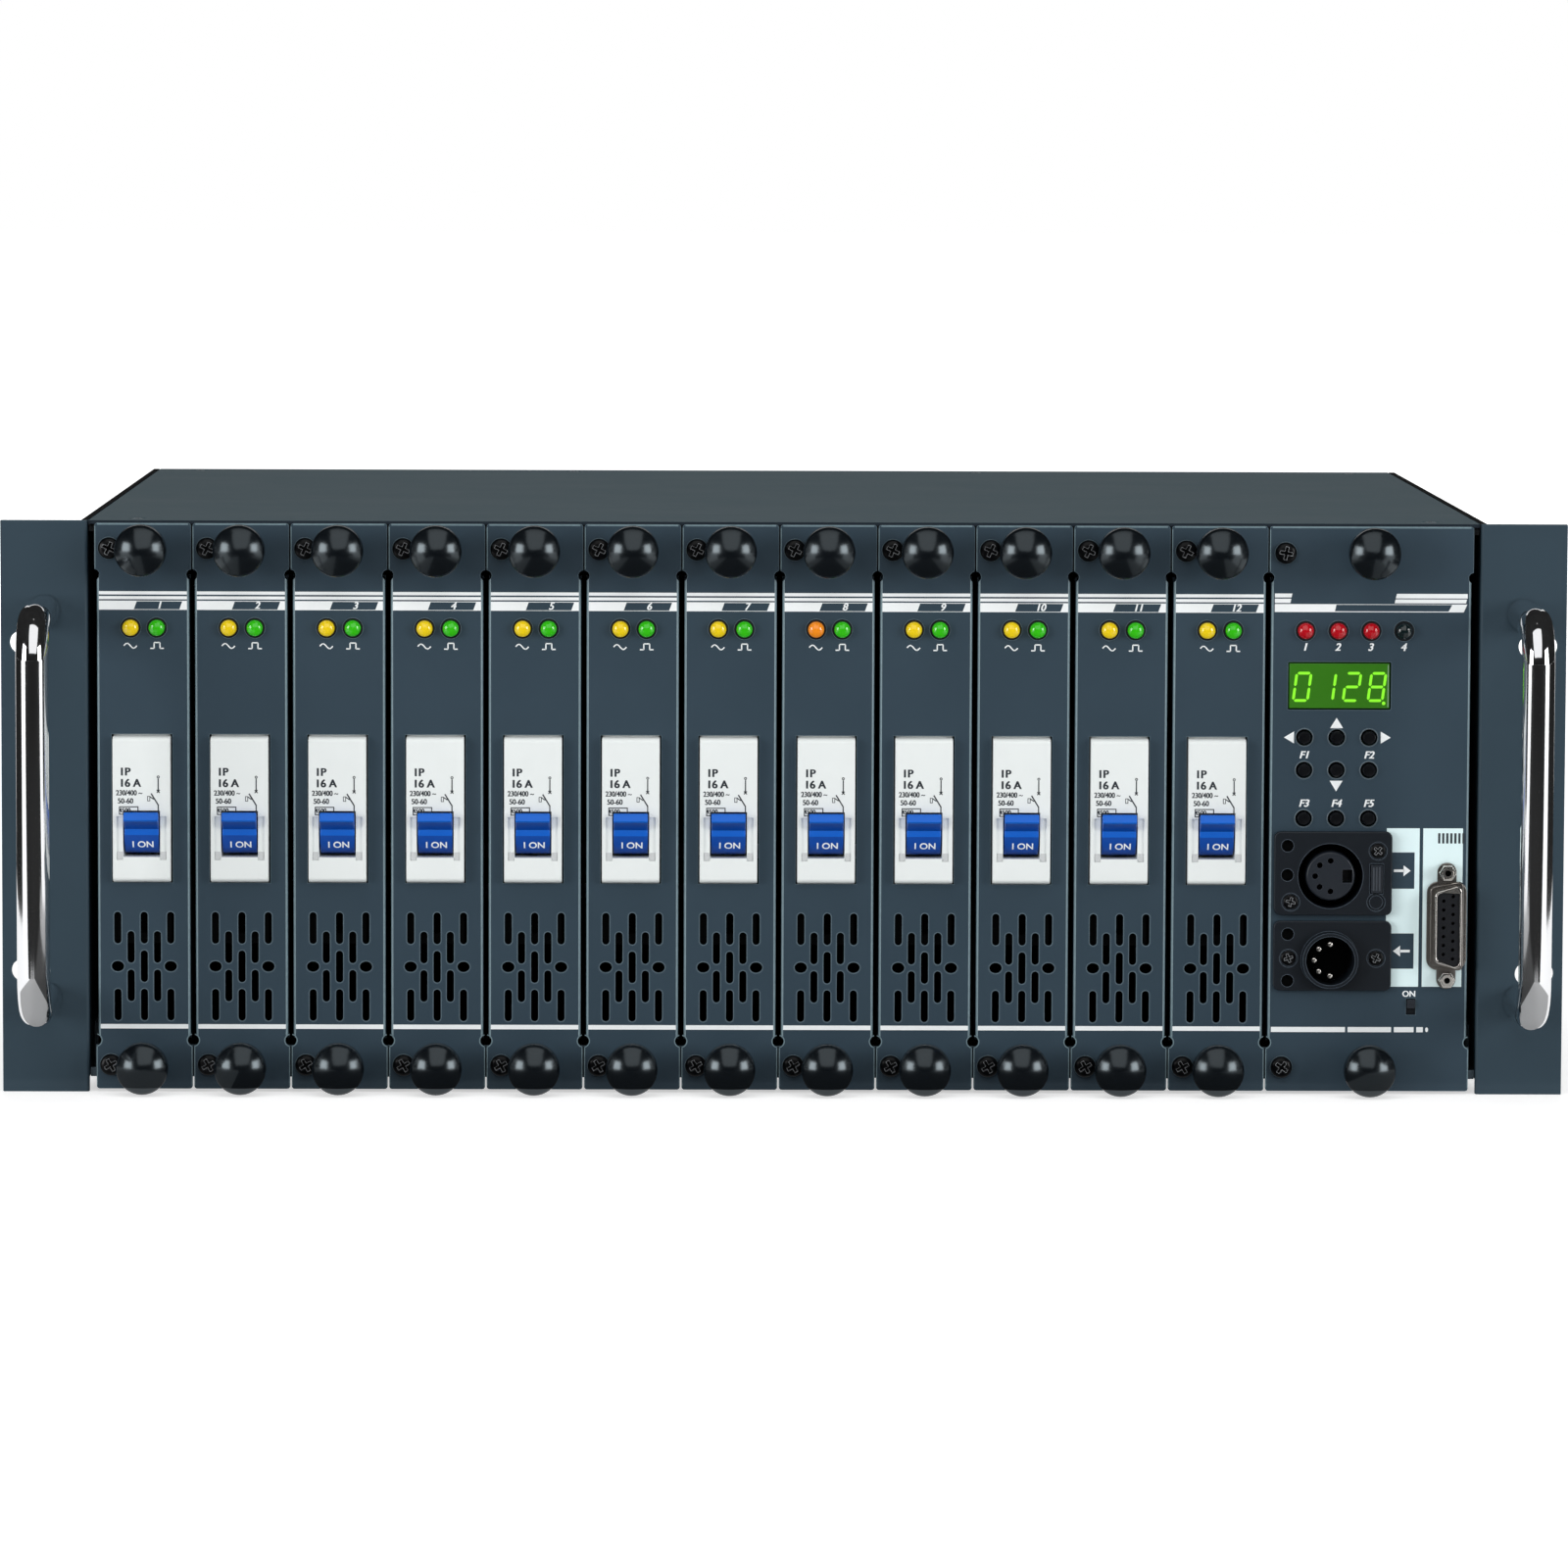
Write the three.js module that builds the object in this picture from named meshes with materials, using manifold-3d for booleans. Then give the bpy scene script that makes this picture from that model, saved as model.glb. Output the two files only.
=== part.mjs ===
import * as THREE from "three";
import { mergeVertices } from "three/addons/utils/BufferGeometryUtils.js";
import Module from "manifold-3d";

// Rack-mount dimmer pack: twelve plug-in dimmer modules, each with its circuit breaker, and a control
// decoder, in a chassis four rack units high with two bail handles.
// Millimetres. X runs to the right as seen from the front, Y to the back and Z up.
// Every piece is drawn with the front of the ears at Y zero and the bottom of the ears at Z zero.

const wasm = await Module();
wasm.setup();

// Sizes shared by all pieces
const clearance = 0.3; // gap between neighbouring pieces that slide or seat on each other
const overrun = 2; // how far a cut runs past the faces that it opens
const weld = 0.2; // how far welded or moulded pieces run into each other

// Driving dimensions, grouped by piece
const rack = {
  width: 482.6,
  earWidth: 26.7, // from the outer edge of the ear to the inside of the side wall
  unitHeight: 44.45,
  units: 4,
  allowance: 0.8,
  holeSpacing: 101.6,
  holeInset: 8.75, // from the outer edge of the ear to the middle of its slot
  slotWidth: 12,
  slotHeight: 7,
};
const bay = {
  count: 12,
  decoderWidth: 63.4,
  datum: 5.2, // from the decoder's left edge to the line that its fittings are placed from
};
const side = {
  sheet: 2,
  gapToPanels: 2, // from the outermost panel edge to the side wall
  depth: 320,
  bottom: 4.6, // height of the chassis floor over the bottom of the ears
  bendRadius: 1,
};
const panel = {
  sheet: 1.2,
  bottomGap: 1,
  topGap: 0.8,
  tabGap: 0.5, // between the tabs of two neighbouring panels
  flangeInset: 0.85, // from the bay's edge to the outside of the flange
  lowerTab: 15, // height of the flat tab under the flanges
  upperTab: 16.2,
  flangeDepth: 12,
  bendRadius: 1.5,
  notchRadius: 1.5,
  notchSteps: 2,
};
const carrier = {
  rearGap: 65, // from the end of the left flange, the module's carrier plate, to the rear of the chassis
  plugWidth: 16,
  plugHeight: 34,
  plugMiddle: 98,
  plugLength: 14,
};
const vent = {
  middle: 39.1,
  columnPitch: 4.08,
  rowPitch: 5.98,
  slotWidth: 2.2,
  slotLength: 9.9,
  ovalWidth: 3.9,
  ovalHeight: 3.3,
  ovalSides: 6,
};
const knob = {
  rise: 8.6, // from the panel's end to the knob's axis
  neckRadius: 5,
  radius: 8,
  flareEnd: 8.4,
  rimEnd: 13.6,
  crownRadius: 5.6,
  crownEnd: 17.2,
  reach: 18.4,
  sides: 9,
};
const lamp = {
  radius: 2.5,
  shoulder: 1.4,
  domeRadius: 1.7,
  reach: 3,
  height: 144,
  amberX: -3.8,
  greenX: 4.25,
  sides: 6,
};
const sink = {
  front: 62,
  depth: 86,
  bottom: 96,
  height: 52,
  base: 3,
  fins: 3,
  fin: 2,
  reach: 20,
};
const choke = {
  radius: 26,
  bore: 9,
  width: 19,
  middleY: 196,
  rise: 10, // from the lower edge of the carrier plate to the core
  sides: 8,
};
const breaker = {
  x: -0.5,
  middle: 88,
  width: 17.8,
  noseHeight: 45,
  noseProud: 3,
  noseChamfer: 1,
  bodyHeight: 84,
  depth: 46,
  railDepth: 5,
  railHeight: 35,
};
const toggle = {
  width: 10.6,
  radius: 6.4,
  axisY: 3.4,
  drop: 7.5, // from the breaker's middle to the drum's axis
  play: 0.8, // between the drum and the ends of its pocket
  sidePlay: 0.4,
  restAngle: 30, // degrees over the horizontal
  reach: 11.6,
  root: 3.4,
  tip: 2.8,
  drumSteps: 9,
};
const tray = {
  sheet: 1.2,
  wallHeight: 15,
  lipGap: 1.5, // between the top of the lip and the panels' flanges
  lipEndTop: 7.4, // the lip is lower where the gaps beside the panels show it
  wallFront: 17, // the floor is plain in front of the upturned edges
  rearTopGap: 1.5,
};
const foot = {
  bottomRadius: 7,
  topRadius: 9,
  insetX: 40,
  insetFront: 34,
  insetRear: 30,
  sides: 8,
};
const guide = {
  front: 20,
  rib: 1.1,
  grip: 6, // how high the ribs stand beside the carrier
  play: 0.4,
};
const fan = {
  middleX: 96,
  middleZ: 112,
  radius: 38,
  slots: 5,
  bar: 5,
};
const knockout = {
  count: 6,
  pitch: 52,
  height: 34,
  radius: 11,
  raised: 0.8,
  sides: 8,
};
const rail = {
  sheet: 2,
  height: 12.5,
  legDepth: 13,
};
const cover = {
  sheet: 1.2,
  lipDepth: 14,
  lipFront: 22,
  lipRearGap: 6,
};
const board = {
  rearGap: 30, // from the front of the backplane to the rear of the chassis
  sheet: 2,
  topGap: 12,
  socketDepth: 20,
  edgeGap: 0.6,
};
const handle = {
  axisInset: 13.6, // from the outer edge of the ear to the rod's axis
  diameter: 10,
  spacing: 120, // between the axes of the two legs
  middle: 89.1,
  standOff: 46,
  bendRadius: 12,
  sides: 10,
  bendSteps: 4,
};
const circuit = {
  sheet: 1.6,
  front: 8.3,
  overlap: 0.5, // how far its lower edge runs down behind the outlet's plate
  rise: 16.1, // from the top of the display to the board's top
  right: 40.5,
};
const display = {
  left: 1.4,
  right: 32.4,
  rise: 9, // from the arrow keys to the display's lower edge
  height: 13.9,
  recess: 0.3,
};
const indicator = {
  left: 6.3,
  pitch: 10.13,
  count: 4,
};
const keypad = {
  left: 6.2, // to the keys' left column
  pitch: 10,
  modeRise: 3.9, // from the outlet's plate to the lowest row of keys
  menuRise: 15,
  arrowRise: 10.1,
};
const button = {
  radius: 2.05,
  play: 0.5,
  proud: 1.4,
  crownRadius: 1.3,
  crown: 0.5,
  travel: 0.5,
  sides: 8,
};
const outlet = {
  x: 14.55,
  axisRise: 12.2, // from the lower edge of the plate to the core's axis
  left: -2.9,
  right: 33.6,
  gap: 1.8, // between the two sockets' plates
  height: 26,
  plate: 2,
  corner: 2,
  barrelRadius: 10.9,
  barrelDepth: 24,
  grooveRadius: 10,
  coreRadius: 7.6,
  grooveDepth: 14,
  latchX: 28.8,
  latchDrop: 0.8, // from the core's axis to the latch's middle
  latchWidth: 3.6,
  latchHeight: 8.7,
  latchProud: 1,
  latchTravel: 1.2,
  latchPocket: 6,
  sides: 16,
};
const inlet = {
  x: 14.55,
  axisRise: 9.6,
  bottom: 32.5,
  height: 21.7,
  plate: 1.6,
  shellRadius: 8.9,
  shellProud: 3.4,
  cavityRadius: 7.5,
  cavityDepth: 13,
  barrelDepth: 22,
  pinRadius: 0.9,
  pinCircle: 4.9,
  pinLength: 11,
  pins: 5,
  pinAngle: 45, // degrees between neighbouring pins
  pinSides: 6,
};
const port = {
  flangeGap: 0.75, // from the port's rear part to the inside of the decoder's right flange
  z: 52.7,
  width: 12.4,
  height: 27.6,
  corner: 3.5,
  flange: 1,
  shellWidth: 8.2,
  shellNarrowShare: 0.9,
  shellHeight: 25.4,
  shellNarrowHeight: 22.6,
  shellWall: 0.6,
  shellProud: 5.8,
  insertRecess: 0.6,
  rearWidth: 9.4,
  rearHeight: 25,
  rearDepth: 11,
  screwPitch: 33.3,
  lugRadius: 3,
  screwRadius: 2.3,
  screwProud: 3.4,
  screwSides: 6,
};
const slider = {
  x: 40,
  bottom: 24.8,
  length: 5.1,
  width: 3,
  nub: 2.6,
  proud: 0.9,
  housingWall: 1.6,
  pocketDepth: 4,
};

// Places worked out from the driving dimensions
const frontHeight = rack.unitHeight * rack.units - rack.allowance;
const wallInside = rack.width / 2 - rack.earWidth;
const bayWidth = 2 * (wallInside - side.gapToPanels);
const pitch = (bayWidth - bay.decoderWidth) / bay.count;
const wallOutside = wallInside + side.sheet;
const trayHalf = wallInside - clearance;
const seatFront = panel.sheet + clearance; // the plane that the panels are screwed up against
const panelTop = frontHeight - panel.topGap;
const flangeBottom = panel.bottomGap + panel.lowerTab;
const flangeTop = panelTop - panel.upperTab;
const boardFront = side.depth - board.rearGap;
const carrierEnd = side.depth - carrier.rearGap;
const floorTop = side.bottom + tray.sheet;
const handleFront = handle.standOff + handle.diameter / 2;
const decoderX = bayWidth / 2 - bay.decoderWidth / 2;
const fittingX = bayWidth / 2 - bay.decoderWidth + bay.datum;
const flangeX = bay.decoderWidth / 2 - panel.flangeInset - panel.sheet;
const sliderTop = slider.bottom + slider.length;
const portX = decoderX + flangeX - port.flangeGap - port.rearWidth / 2;
const toggleZ = breaker.middle - toggle.drop;
const pocketWidth = toggle.width + 2 * toggle.sidePlay;
const chokeZ = flangeBottom + choke.rise + choke.radius;
const lipTop = flangeBottom - tray.lipGap;
const inletTop = inlet.bottom + inlet.height;
const inletZ = inlet.bottom + inlet.axisRise;
const outletBottom = inletTop + outlet.gap;
const outletTop = outletBottom + outlet.height;
const outletZ = outletBottom + outlet.axisRise;
const latchZ = outletZ - outlet.latchDrop;
const modeRow = outletTop + keypad.modeRise;
const menuRow = modeRow + keypad.menuRise;
const arrowRow = menuRow + keypad.arrowRise;
const displayBottom = arrowRow + display.rise;
const displayTop = displayBottom + display.height;
const circuitBottom = outletTop - circuit.overlap;
const circuitTop = displayTop + circuit.rise;
const outlineMiddle = (side.depth + knockout.raised - handleFront) / 2;

const paint = new THREE.MeshStandardMaterial({ color: 0x39495a, roughness: 0.55, metalness: 0.25 });
const coverPaint = new THREE.MeshStandardMaterial({ color: 0x485054, roughness: 0.6, metalness: 0.2 });
const chrome = new THREE.MeshStandardMaterial({ color: 0xe6e8ea, roughness: 0.08, metalness: 1 });
const steel = new THREE.MeshStandardMaterial({ color: 0x9aa0a4, roughness: 0.4, metalness: 0.9 });
const laminate = new THREE.MeshStandardMaterial({ color: 0x2f5a3a, roughness: 0.6, metalness: 0 });
const white = new THREE.MeshStandardMaterial({ color: 0xe6ebeb, roughness: 0.45, metalness: 0 });
const blue = new THREE.MeshStandardMaterial({ color: 0x0f55b4, roughness: 0.35, metalness: 0 });
const black = new THREE.MeshStandardMaterial({ color: 0x14171a, roughness: 0.4, metalness: 0 });
const glass = new THREE.MeshStandardMaterial({ color: 0x3c7319, roughness: 0.15, metalness: 0 });

// Solids and meshes

// A closed three.js geometry as a solid that can be cut and joined.
function solidFrom(geometry) {
  const bare = geometry.index ? geometry.clone() : geometry;
  bare.deleteAttribute("normal");
  bare.deleteAttribute("uv");
  const merged = mergeVertices(bare);
  const corners = merged.index.array;
  const kept = [];
  for (let i = 0; i < corners.length; i += 3) {
    const [a, b, c] = corners.subarray(i, i + 3);
    if (a !== b && b !== c && c !== a) kept.push(a, b, c);
  }
  return new wasm.Manifold(
    new wasm.Mesh({
      numProp: 3,
      vertProperties: merged.attributes.position.array,
      triVerts: new Uint32Array(kept),
    }),
  );
}

function meshFrom(name, solid, material) {
  const { vertProperties, triVerts } = solid.getMesh();
  const geometry = new THREE.BufferGeometry();
  geometry.setAttribute("position", new THREE.BufferAttribute(vertProperties, 3));
  geometry.setIndex(new THREE.BufferAttribute(triVerts, 1));
  const mesh = new THREE.Mesh(geometry, material);
  mesh.name = name;
  return mesh;
}

function block(left, right, front, back, bottom, top) {
  const geometry = new THREE.BoxGeometry(right - left, back - front, top - bottom);
  geometry.translate((left + right) / 2, (front + back) / 2, (bottom + top) / 2);
  return solidFrom(geometry);
}

function extruded(outlines, depth) {
  return new THREE.ExtrudeGeometry(outlines, { depth, bevelEnabled: false, steps: 1 });
}

// An outline drawn in X and Z, as seen from the front, that runs back from a given Y.
function frontal(outlines, front, depth) {
  const geometry = extruded(outlines, depth);
  geometry.rotateX(Math.PI / 2);
  geometry.translate(0, front + depth, 0);
  return solidFrom(geometry);
}

// An outline drawn in X and Y, as seen from above, that rises from a given Z.
function upright(outline, bottom, height) {
  const geometry = extruded(outline, height);
  geometry.translate(0, 0, bottom);
  return solidFrom(geometry);
}

// An outline drawn in Y and Z that runs to the right from a given X.
function sideways(outline, left, width) {
  const geometry = extruded(outline, width);
  const toSide = new THREE.Matrix4().makeBasis(
    new THREE.Vector3(0, 1, 0),
    new THREE.Vector3(0, 0, 1),
    new THREE.Vector3(1, 0, 0),
  );
  geometry.applyMatrix4(toSide);
  geometry.translate(left, 0, 0);
  return solidFrom(geometry);
}

// A turned piece that faces the front: its profile gives radius and distance out of the panel.
function turned(profile, sides, x, z) {
  const points = profile.map(([radius, out]) => new THREE.Vector2(radius, out));
  const geometry = new THREE.LatheGeometry(points, sides);
  geometry.rotateX(Math.PI);
  geometry.translate(x, 0, z);
  return solidFrom(geometry);
}

function shapeOf(points) {
  return new THREE.Shape(points.map(([u, v]) => new THREE.Vector2(u, v)));
}

// Points along an arc, with its angles in degrees.
function arc(u, v, radius, from, to, steps) {
  return Array.from({ length: steps + 1 }, (_, i) => {
    const angle = THREE.MathUtils.degToRad(from + ((to - from) * i) / steps);
    return [u + radius * Math.cos(angle), v + radius * Math.sin(angle)];
  });
}

function oval(x, z, width, height, sides) {
  const unit = arc(0, 0, 1, 90, 450, sides).slice(0, -1);
  return shapeOf(unit.map(([u, v]) => [x + (u * width) / 2, z + (v * height) / 2]));
}

function disc(x, z, radius, sides) {
  return shapeOf(arc(x, z, radius, 0, 360, sides).slice(0, -1));
}

// A rounded box outline: an upright slot where the corner radius is half its width.
function roundedBox(x, z, width, height, radius, steps) {
  const u = width / 2 - radius;
  const v = height / 2 - radius;
  return shapeOf([
    ...arc(x + u, z - v, radius, -90, 0, steps),
    ...arc(x + u, z + v, radius, 0, 90, steps),
    ...arc(x - u, z + v, radius, 90, 180, steps),
    ...arc(x - u, z - v, radius, 180, 270, steps),
  ]);
}

function rectangle(x, z, width, height) {
  return roundedBox(x, z, width, height, 0, 1);
}

// Chassis

// The carrier plate of each bay stands at its left edge, so its guide does too.
function carrierPlaces() {
  const left = -bayWidth / 2 + panel.flangeInset + panel.sheet / 2;
  return Array.from({ length: bay.count + 1 }, (_, i) => left + i * pitch);
}

function fanSlots(middleX) {
  const step = (2 * fan.radius) / fan.slots;
  return Array.from({ length: fan.slots }, (_, i) => {
    const rise = (i - (fan.slots - 1) / 2) * step;
    const half = Math.sqrt(fan.radius ** 2 - rise ** 2);
    const z = fan.middleZ + rise;
    const rim = (step - fan.bar) / 2;
    return block(
      middleX - half,
      middleX + half,
      side.depth - tray.sheet - overrun,
      side.depth + overrun,
      z - rim,
      z + rim,
    );
  });
}

function chassisTray() {
  const wallTop = side.bottom + tray.wallHeight;
  const inside = trayHalf - tray.sheet;
  const section = shapeOf([
    [-trayHalf, side.bottom],
    [trayHalf, side.bottom],
    [trayHalf, wallTop],
    [inside, wallTop],
    [inside, floorTop],
    [-inside, floorTop],
    [-inside, wallTop],
    [-trayHalf, wallTop],
  ]);
  const lipHalf = bayWidth / 2;
  const lip = shapeOf([
    [-trayHalf, side.bottom],
    [trayHalf, side.bottom],
    [trayHalf, tray.lipEndTop],
    [lipHalf, tray.lipEndTop],
    [lipHalf, lipTop],
    [-lipHalf, lipTop],
    [-lipHalf, tray.lipEndTop],
    [-trayHalf, tray.lipEndTop],
  ]);
  const rearTop = frontHeight - tray.rearTopGap;
  const rearFront = side.depth - tray.sheet;
  const pieces = [
    frontal(section, tray.wallFront, side.depth - tray.wallFront),
    block(-trayHalf, trayHalf, seatFront, tray.wallFront + weld, side.bottom, floorTop),
    frontal(lip, seatFront, tray.sheet),
    block(-trayHalf, trayHalf, rearFront, side.depth, side.bottom, rearTop),
  ];
  const seat = flangeBottom - clearance;
  const slotHalf = panel.sheet / 2 + guide.play;
  for (const x of carrierPlaces()) {
    const ribHalf = slotHalf + guide.rib;
    const outline = shapeOf([
      [x - ribHalf, floorTop - weld],
      [x + ribHalf, floorTop - weld],
      [x + ribHalf, seat + guide.grip],
      [x + slotHalf, seat + guide.grip],
      [x + slotHalf, seat],
      [x - slotHalf, seat],
      [x - slotHalf, seat + guide.grip],
      [x - ribHalf, seat + guide.grip],
    ]);
    pieces.push(frontal(outline, guide.front, boardFront - board.socketDepth - clearance - guide.front));
  }
  for (const x of [-trayHalf + foot.insetX, trayHalf - foot.insetX]) {
    for (const y of [foot.insetFront, side.depth - foot.insetRear]) {
      const height = side.bottom + tray.sheet / 2;
      const cone = new THREE.CylinderGeometry(foot.topRadius, foot.bottomRadius, height, foot.sides);
      cone.rotateX(Math.PI / 2);
      cone.translate(x, y, height / 2);
      pieces.push(solidFrom(cone));
    }
  }
  for (let i = 0; i < knockout.count; i++) {
    const x = (i - (knockout.count - 1) / 2) * knockout.pitch;
    const outline = disc(x, knockout.height, knockout.radius, knockout.sides);
    pieces.push(frontal(outline, side.depth - weld, knockout.raised + weld));
  }
  const openings = [...fanSlots(-fan.middleX), ...fanSlots(fan.middleX)];
  const solid = wasm.Manifold.union(pieces).subtract(wasm.Manifold.union(openings));
  return meshFrom("chassis_tray", solid, paint);
}

// A side wall of the chassis with its rack ear bent outwards at the front.
function sidePanel(name, hand) {
  const outer = rack.width / 2;
  const bend = arc(wallInside + side.bendRadius, side.bendRadius, side.bendRadius, 180, 270, 3);
  const outline = shapeOf([
    [wallOutside, side.sheet],
    [wallOutside, side.depth],
    [wallInside, side.depth],
    ...bend,
    [outer, 0],
    [outer, side.sheet],
  ]);
  const slotX = outer - rack.holeInset;
  const slots = [-rack.holeSpacing / 2, rack.holeSpacing / 2].map((rise) =>
    roundedBox(slotX, frontHeight / 2 + rise, rack.slotWidth, rack.slotHeight, rack.slotHeight / 2, 3),
  );
  const raised = block(
    wallInside - overrun,
    wallOutside + side.sheet,
    side.sheet,
    side.depth + overrun,
    -overrun,
    side.bottom,
  );
  const solid = upright(outline, 0, frontHeight)
    .subtract(frontal(slots, -overrun, side.sheet + 2 * overrun))
    .subtract(raised);
  return meshFrom(name, hand < 0 ? solid.mirror([1, 0, 0]) : solid, paint);
}

// The upper rail is an angle: its web carries the panels' top screws and its leg carries the cover.
function upperRail() {
  const top = frontHeight - cover.sheet - clearance;
  const bottom = top - rail.height;
  const profile = shapeOf([
    [seatFront, bottom],
    [seatFront + rail.sheet, bottom],
    [seatFront + rail.sheet, top - rail.sheet],
    [seatFront + rail.legDepth, top - rail.sheet],
    [seatFront + rail.legDepth, top],
    [seatFront, top],
  ]);
  const relief = [-1, 1].map((hand) => {
    const edge = (hand * bayWidth) / 2;
    const end = hand * (trayHalf + overrun);
    return block(
      Math.min(edge, end),
      Math.max(edge, end),
      seatFront - overrun,
      seatFront + rail.sheet,
      bottom - overrun,
      top + overrun,
    );
  });
  const solid = sideways(profile, -trayHalf, 2 * trayHalf).subtract(wasm.Manifold.union(relief));
  return meshFrom("rail_top", solid, steel);
}

// The cover lies between the side walls, with a lip down inside each of them.
function topCover() {
  const bottom = frontHeight - cover.sheet;
  const lipBottom = bottom - cover.lipDepth;
  const inside = trayHalf - cover.sheet;
  const section = shapeOf([
    [-trayHalf, frontHeight],
    [-trayHalf, lipBottom],
    [-inside, lipBottom],
    [-inside, bottom],
    [inside, bottom],
    [inside, lipBottom],
    [trayHalf, lipBottom],
    [trayHalf, frontHeight],
  ]);
  const lipBack = side.depth - cover.lipRearGap;
  const solid = block(-trayHalf, trayHalf, seatFront, side.depth, bottom, frontHeight).add(
    frontal(section, cover.lipFront, lipBack - cover.lipFront),
  );
  return meshFrom("top_cover", solid, coverPaint);
}

// The backplane stands across the chassis and holds one socket for each bay.
function backplane() {
  const half = trayHalf - tray.sheet - board.edgeGap;
  const top = frontHeight - board.topGap;
  const pieces = [block(-half, half, boardFront, boardFront + board.sheet, floorTop + clearance, top)];
  const rise = carrier.plugHeight / 2;
  for (const x of carrierPlaces()) {
    const left = x + panel.sheet / 2;
    pieces.push(
      block(
        left,
        left + carrier.plugWidth,
        boardFront - board.socketDepth,
        boardFront + weld,
        carrier.plugMiddle - rise,
        carrier.plugMiddle + rise,
      ),
    );
  }
  return meshFrom("backplane", wasm.Manifold.union(pieces), laminate);
}

// The path of a bent rod, stepped only where it bends.
class BentRod extends THREE.Curve {
  constructor(stations) {
    super();
    this.stations = stations;
  }

  getPoint(t) {
    const last = this.stations.length - 1;
    const place = Math.min(t * last, last);
    const index = Math.min(Math.floor(place), last - 1);
    return this.stations[index].point.clone().lerp(this.stations[index + 1].point, place - index);
  }

  getPointAt(u) {
    return this.getPoint(u);
  }

  getTangentAt(u) {
    return this.stations[Math.round(u * (this.stations.length - 1))].tangent.clone();
  }
}

function bailHandle(name, hand) {
  const x = hand * (rack.width / 2 - handle.axisInset);
  const radius = handle.diameter / 2;
  const bend = handle.bendRadius;
  const bottom = handle.middle - handle.spacing / 2;
  const top = handle.middle + handle.spacing / 2;
  const front = -handle.standOff;
  const station = (y, z, tangentY, tangentZ) => ({
    point: new THREE.Vector3(x, y, z),
    tangent: new THREE.Vector3(0, tangentY, tangentZ),
  });
  const corner = (z, from, direction) =>
    Array.from({ length: handle.bendSteps + 1 }, (_, i) => {
      const angle = from + (i / handle.bendSteps) * (Math.PI / 2);
      const along = Math.cos(angle);
      const across = Math.sin(angle);
      return station(front + bend - bend * across, z - direction * bend * along, -along, direction * across);
    });
  const lower = corner(bottom + bend, 0, 1);
  const upper = corner(top - bend, 0, -1)
    .reverse()
    .map(({ point, tangent }) => ({ point, tangent: tangent.negate() }));
  const stations = [
    station(-clearance, bottom, -1, 0),
    ...lower,
    ...upper,
    station(-clearance, top, 1, 0),
  ];
  const geometry = new THREE.ExtrudeGeometry(disc(0, 0, radius, handle.sides), {
    steps: stations.length - 1,
    extrudePath: new BentRod(stations),
  });
  return meshFrom(name, solidFrom(geometry), chrome);
}

// Modules

function pullKnob(x, z) {
  const profile = [
    [0, -weld],
    [knob.neckRadius, -weld],
    [knob.radius, knob.flareEnd],
    [knob.radius, knob.rimEnd],
    [knob.crownRadius, knob.crownEnd],
    [0, knob.reach],
  ];
  return turned(profile, knob.sides, x, z);
}

function pullKnobs(x) {
  return [pullKnob(x, knob.rise), pullKnob(x, frontHeight - knob.rise)];
}

function lampDome(x) {
  const profile = [
    [0, -weld],
    [lamp.radius, -weld],
    [lamp.radius, lamp.shoulder],
    [lamp.domeRadius, lamp.reach],
    [0, lamp.reach],
  ];
  return turned(profile, lamp.sides, x, lamp.height);
}

// A front panel of folded sheet. Its left flange runs back as the module's carrier plate, and round
// relief notches part the flanges from the flat tabs at the top and bottom.
function foldedPanel(x, width) {
  const edge = width / 2 - panel.flangeInset;
  const tab = width / 2 - panel.tabGap / 2;
  const outer = panel.bendRadius;
  const inner = panel.bendRadius - panel.sheet;
  const inside = edge - panel.sheet;
  const section = shapeOf([
    [x - edge, carrierEnd],
    ...arc(x - edge + outer, outer, outer, 180, 270, 2),
    ...arc(x + edge - outer, outer, outer, 270, 360, 2),
    [x + edge, panel.flangeDepth],
    [x + inside, panel.flangeDepth],
    ...arc(x + edge - outer, outer, inner, 0, -90, 1),
    ...arc(x - edge + outer, outer, inner, 270, 180, 1),
    [x - inside, carrierEnd],
  ]);
  const notch = panel.notchRadius;
  const upperTab = shapeOf([
    ...arc(x + edge, flangeTop, notch, 180, 90, panel.notchSteps),
    [x + tab, flangeTop + notch],
    [x + tab, panelTop],
    [x - tab, panelTop],
    [x - tab, flangeTop + notch],
    ...arc(x - edge, flangeTop, notch, 90, 0, panel.notchSteps),
  ]);
  const lowerTab = shapeOf([
    [x - tab, panel.bottomGap],
    [x + tab, panel.bottomGap],
    [x + tab, flangeBottom - notch],
    ...arc(x + edge, flangeBottom, notch, 270, 180, panel.notchSteps),
    ...arc(x - edge, flangeBottom, notch, 0, -90, panel.notchSteps),
    [x - tab, flangeBottom - notch],
  ]);
  return upright(section, flangeBottom, flangeTop - flangeBottom)
    .add(frontal(upperTab, 0, panel.sheet))
    .add(frontal(lowerTab, 0, panel.sheet));
}

// The plug at the rear of a carrier plate that stands at x.
function rearPlug(x) {
  const left = x + panel.sheet / 2;
  const half = carrier.plugHeight / 2;
  return block(
    left - weld,
    left + carrier.plugWidth,
    carrierEnd - carrier.plugLength,
    boardFront - board.socketDepth - clearance,
    carrier.plugMiddle - half,
    carrier.plugMiddle + half,
  );
}

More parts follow.
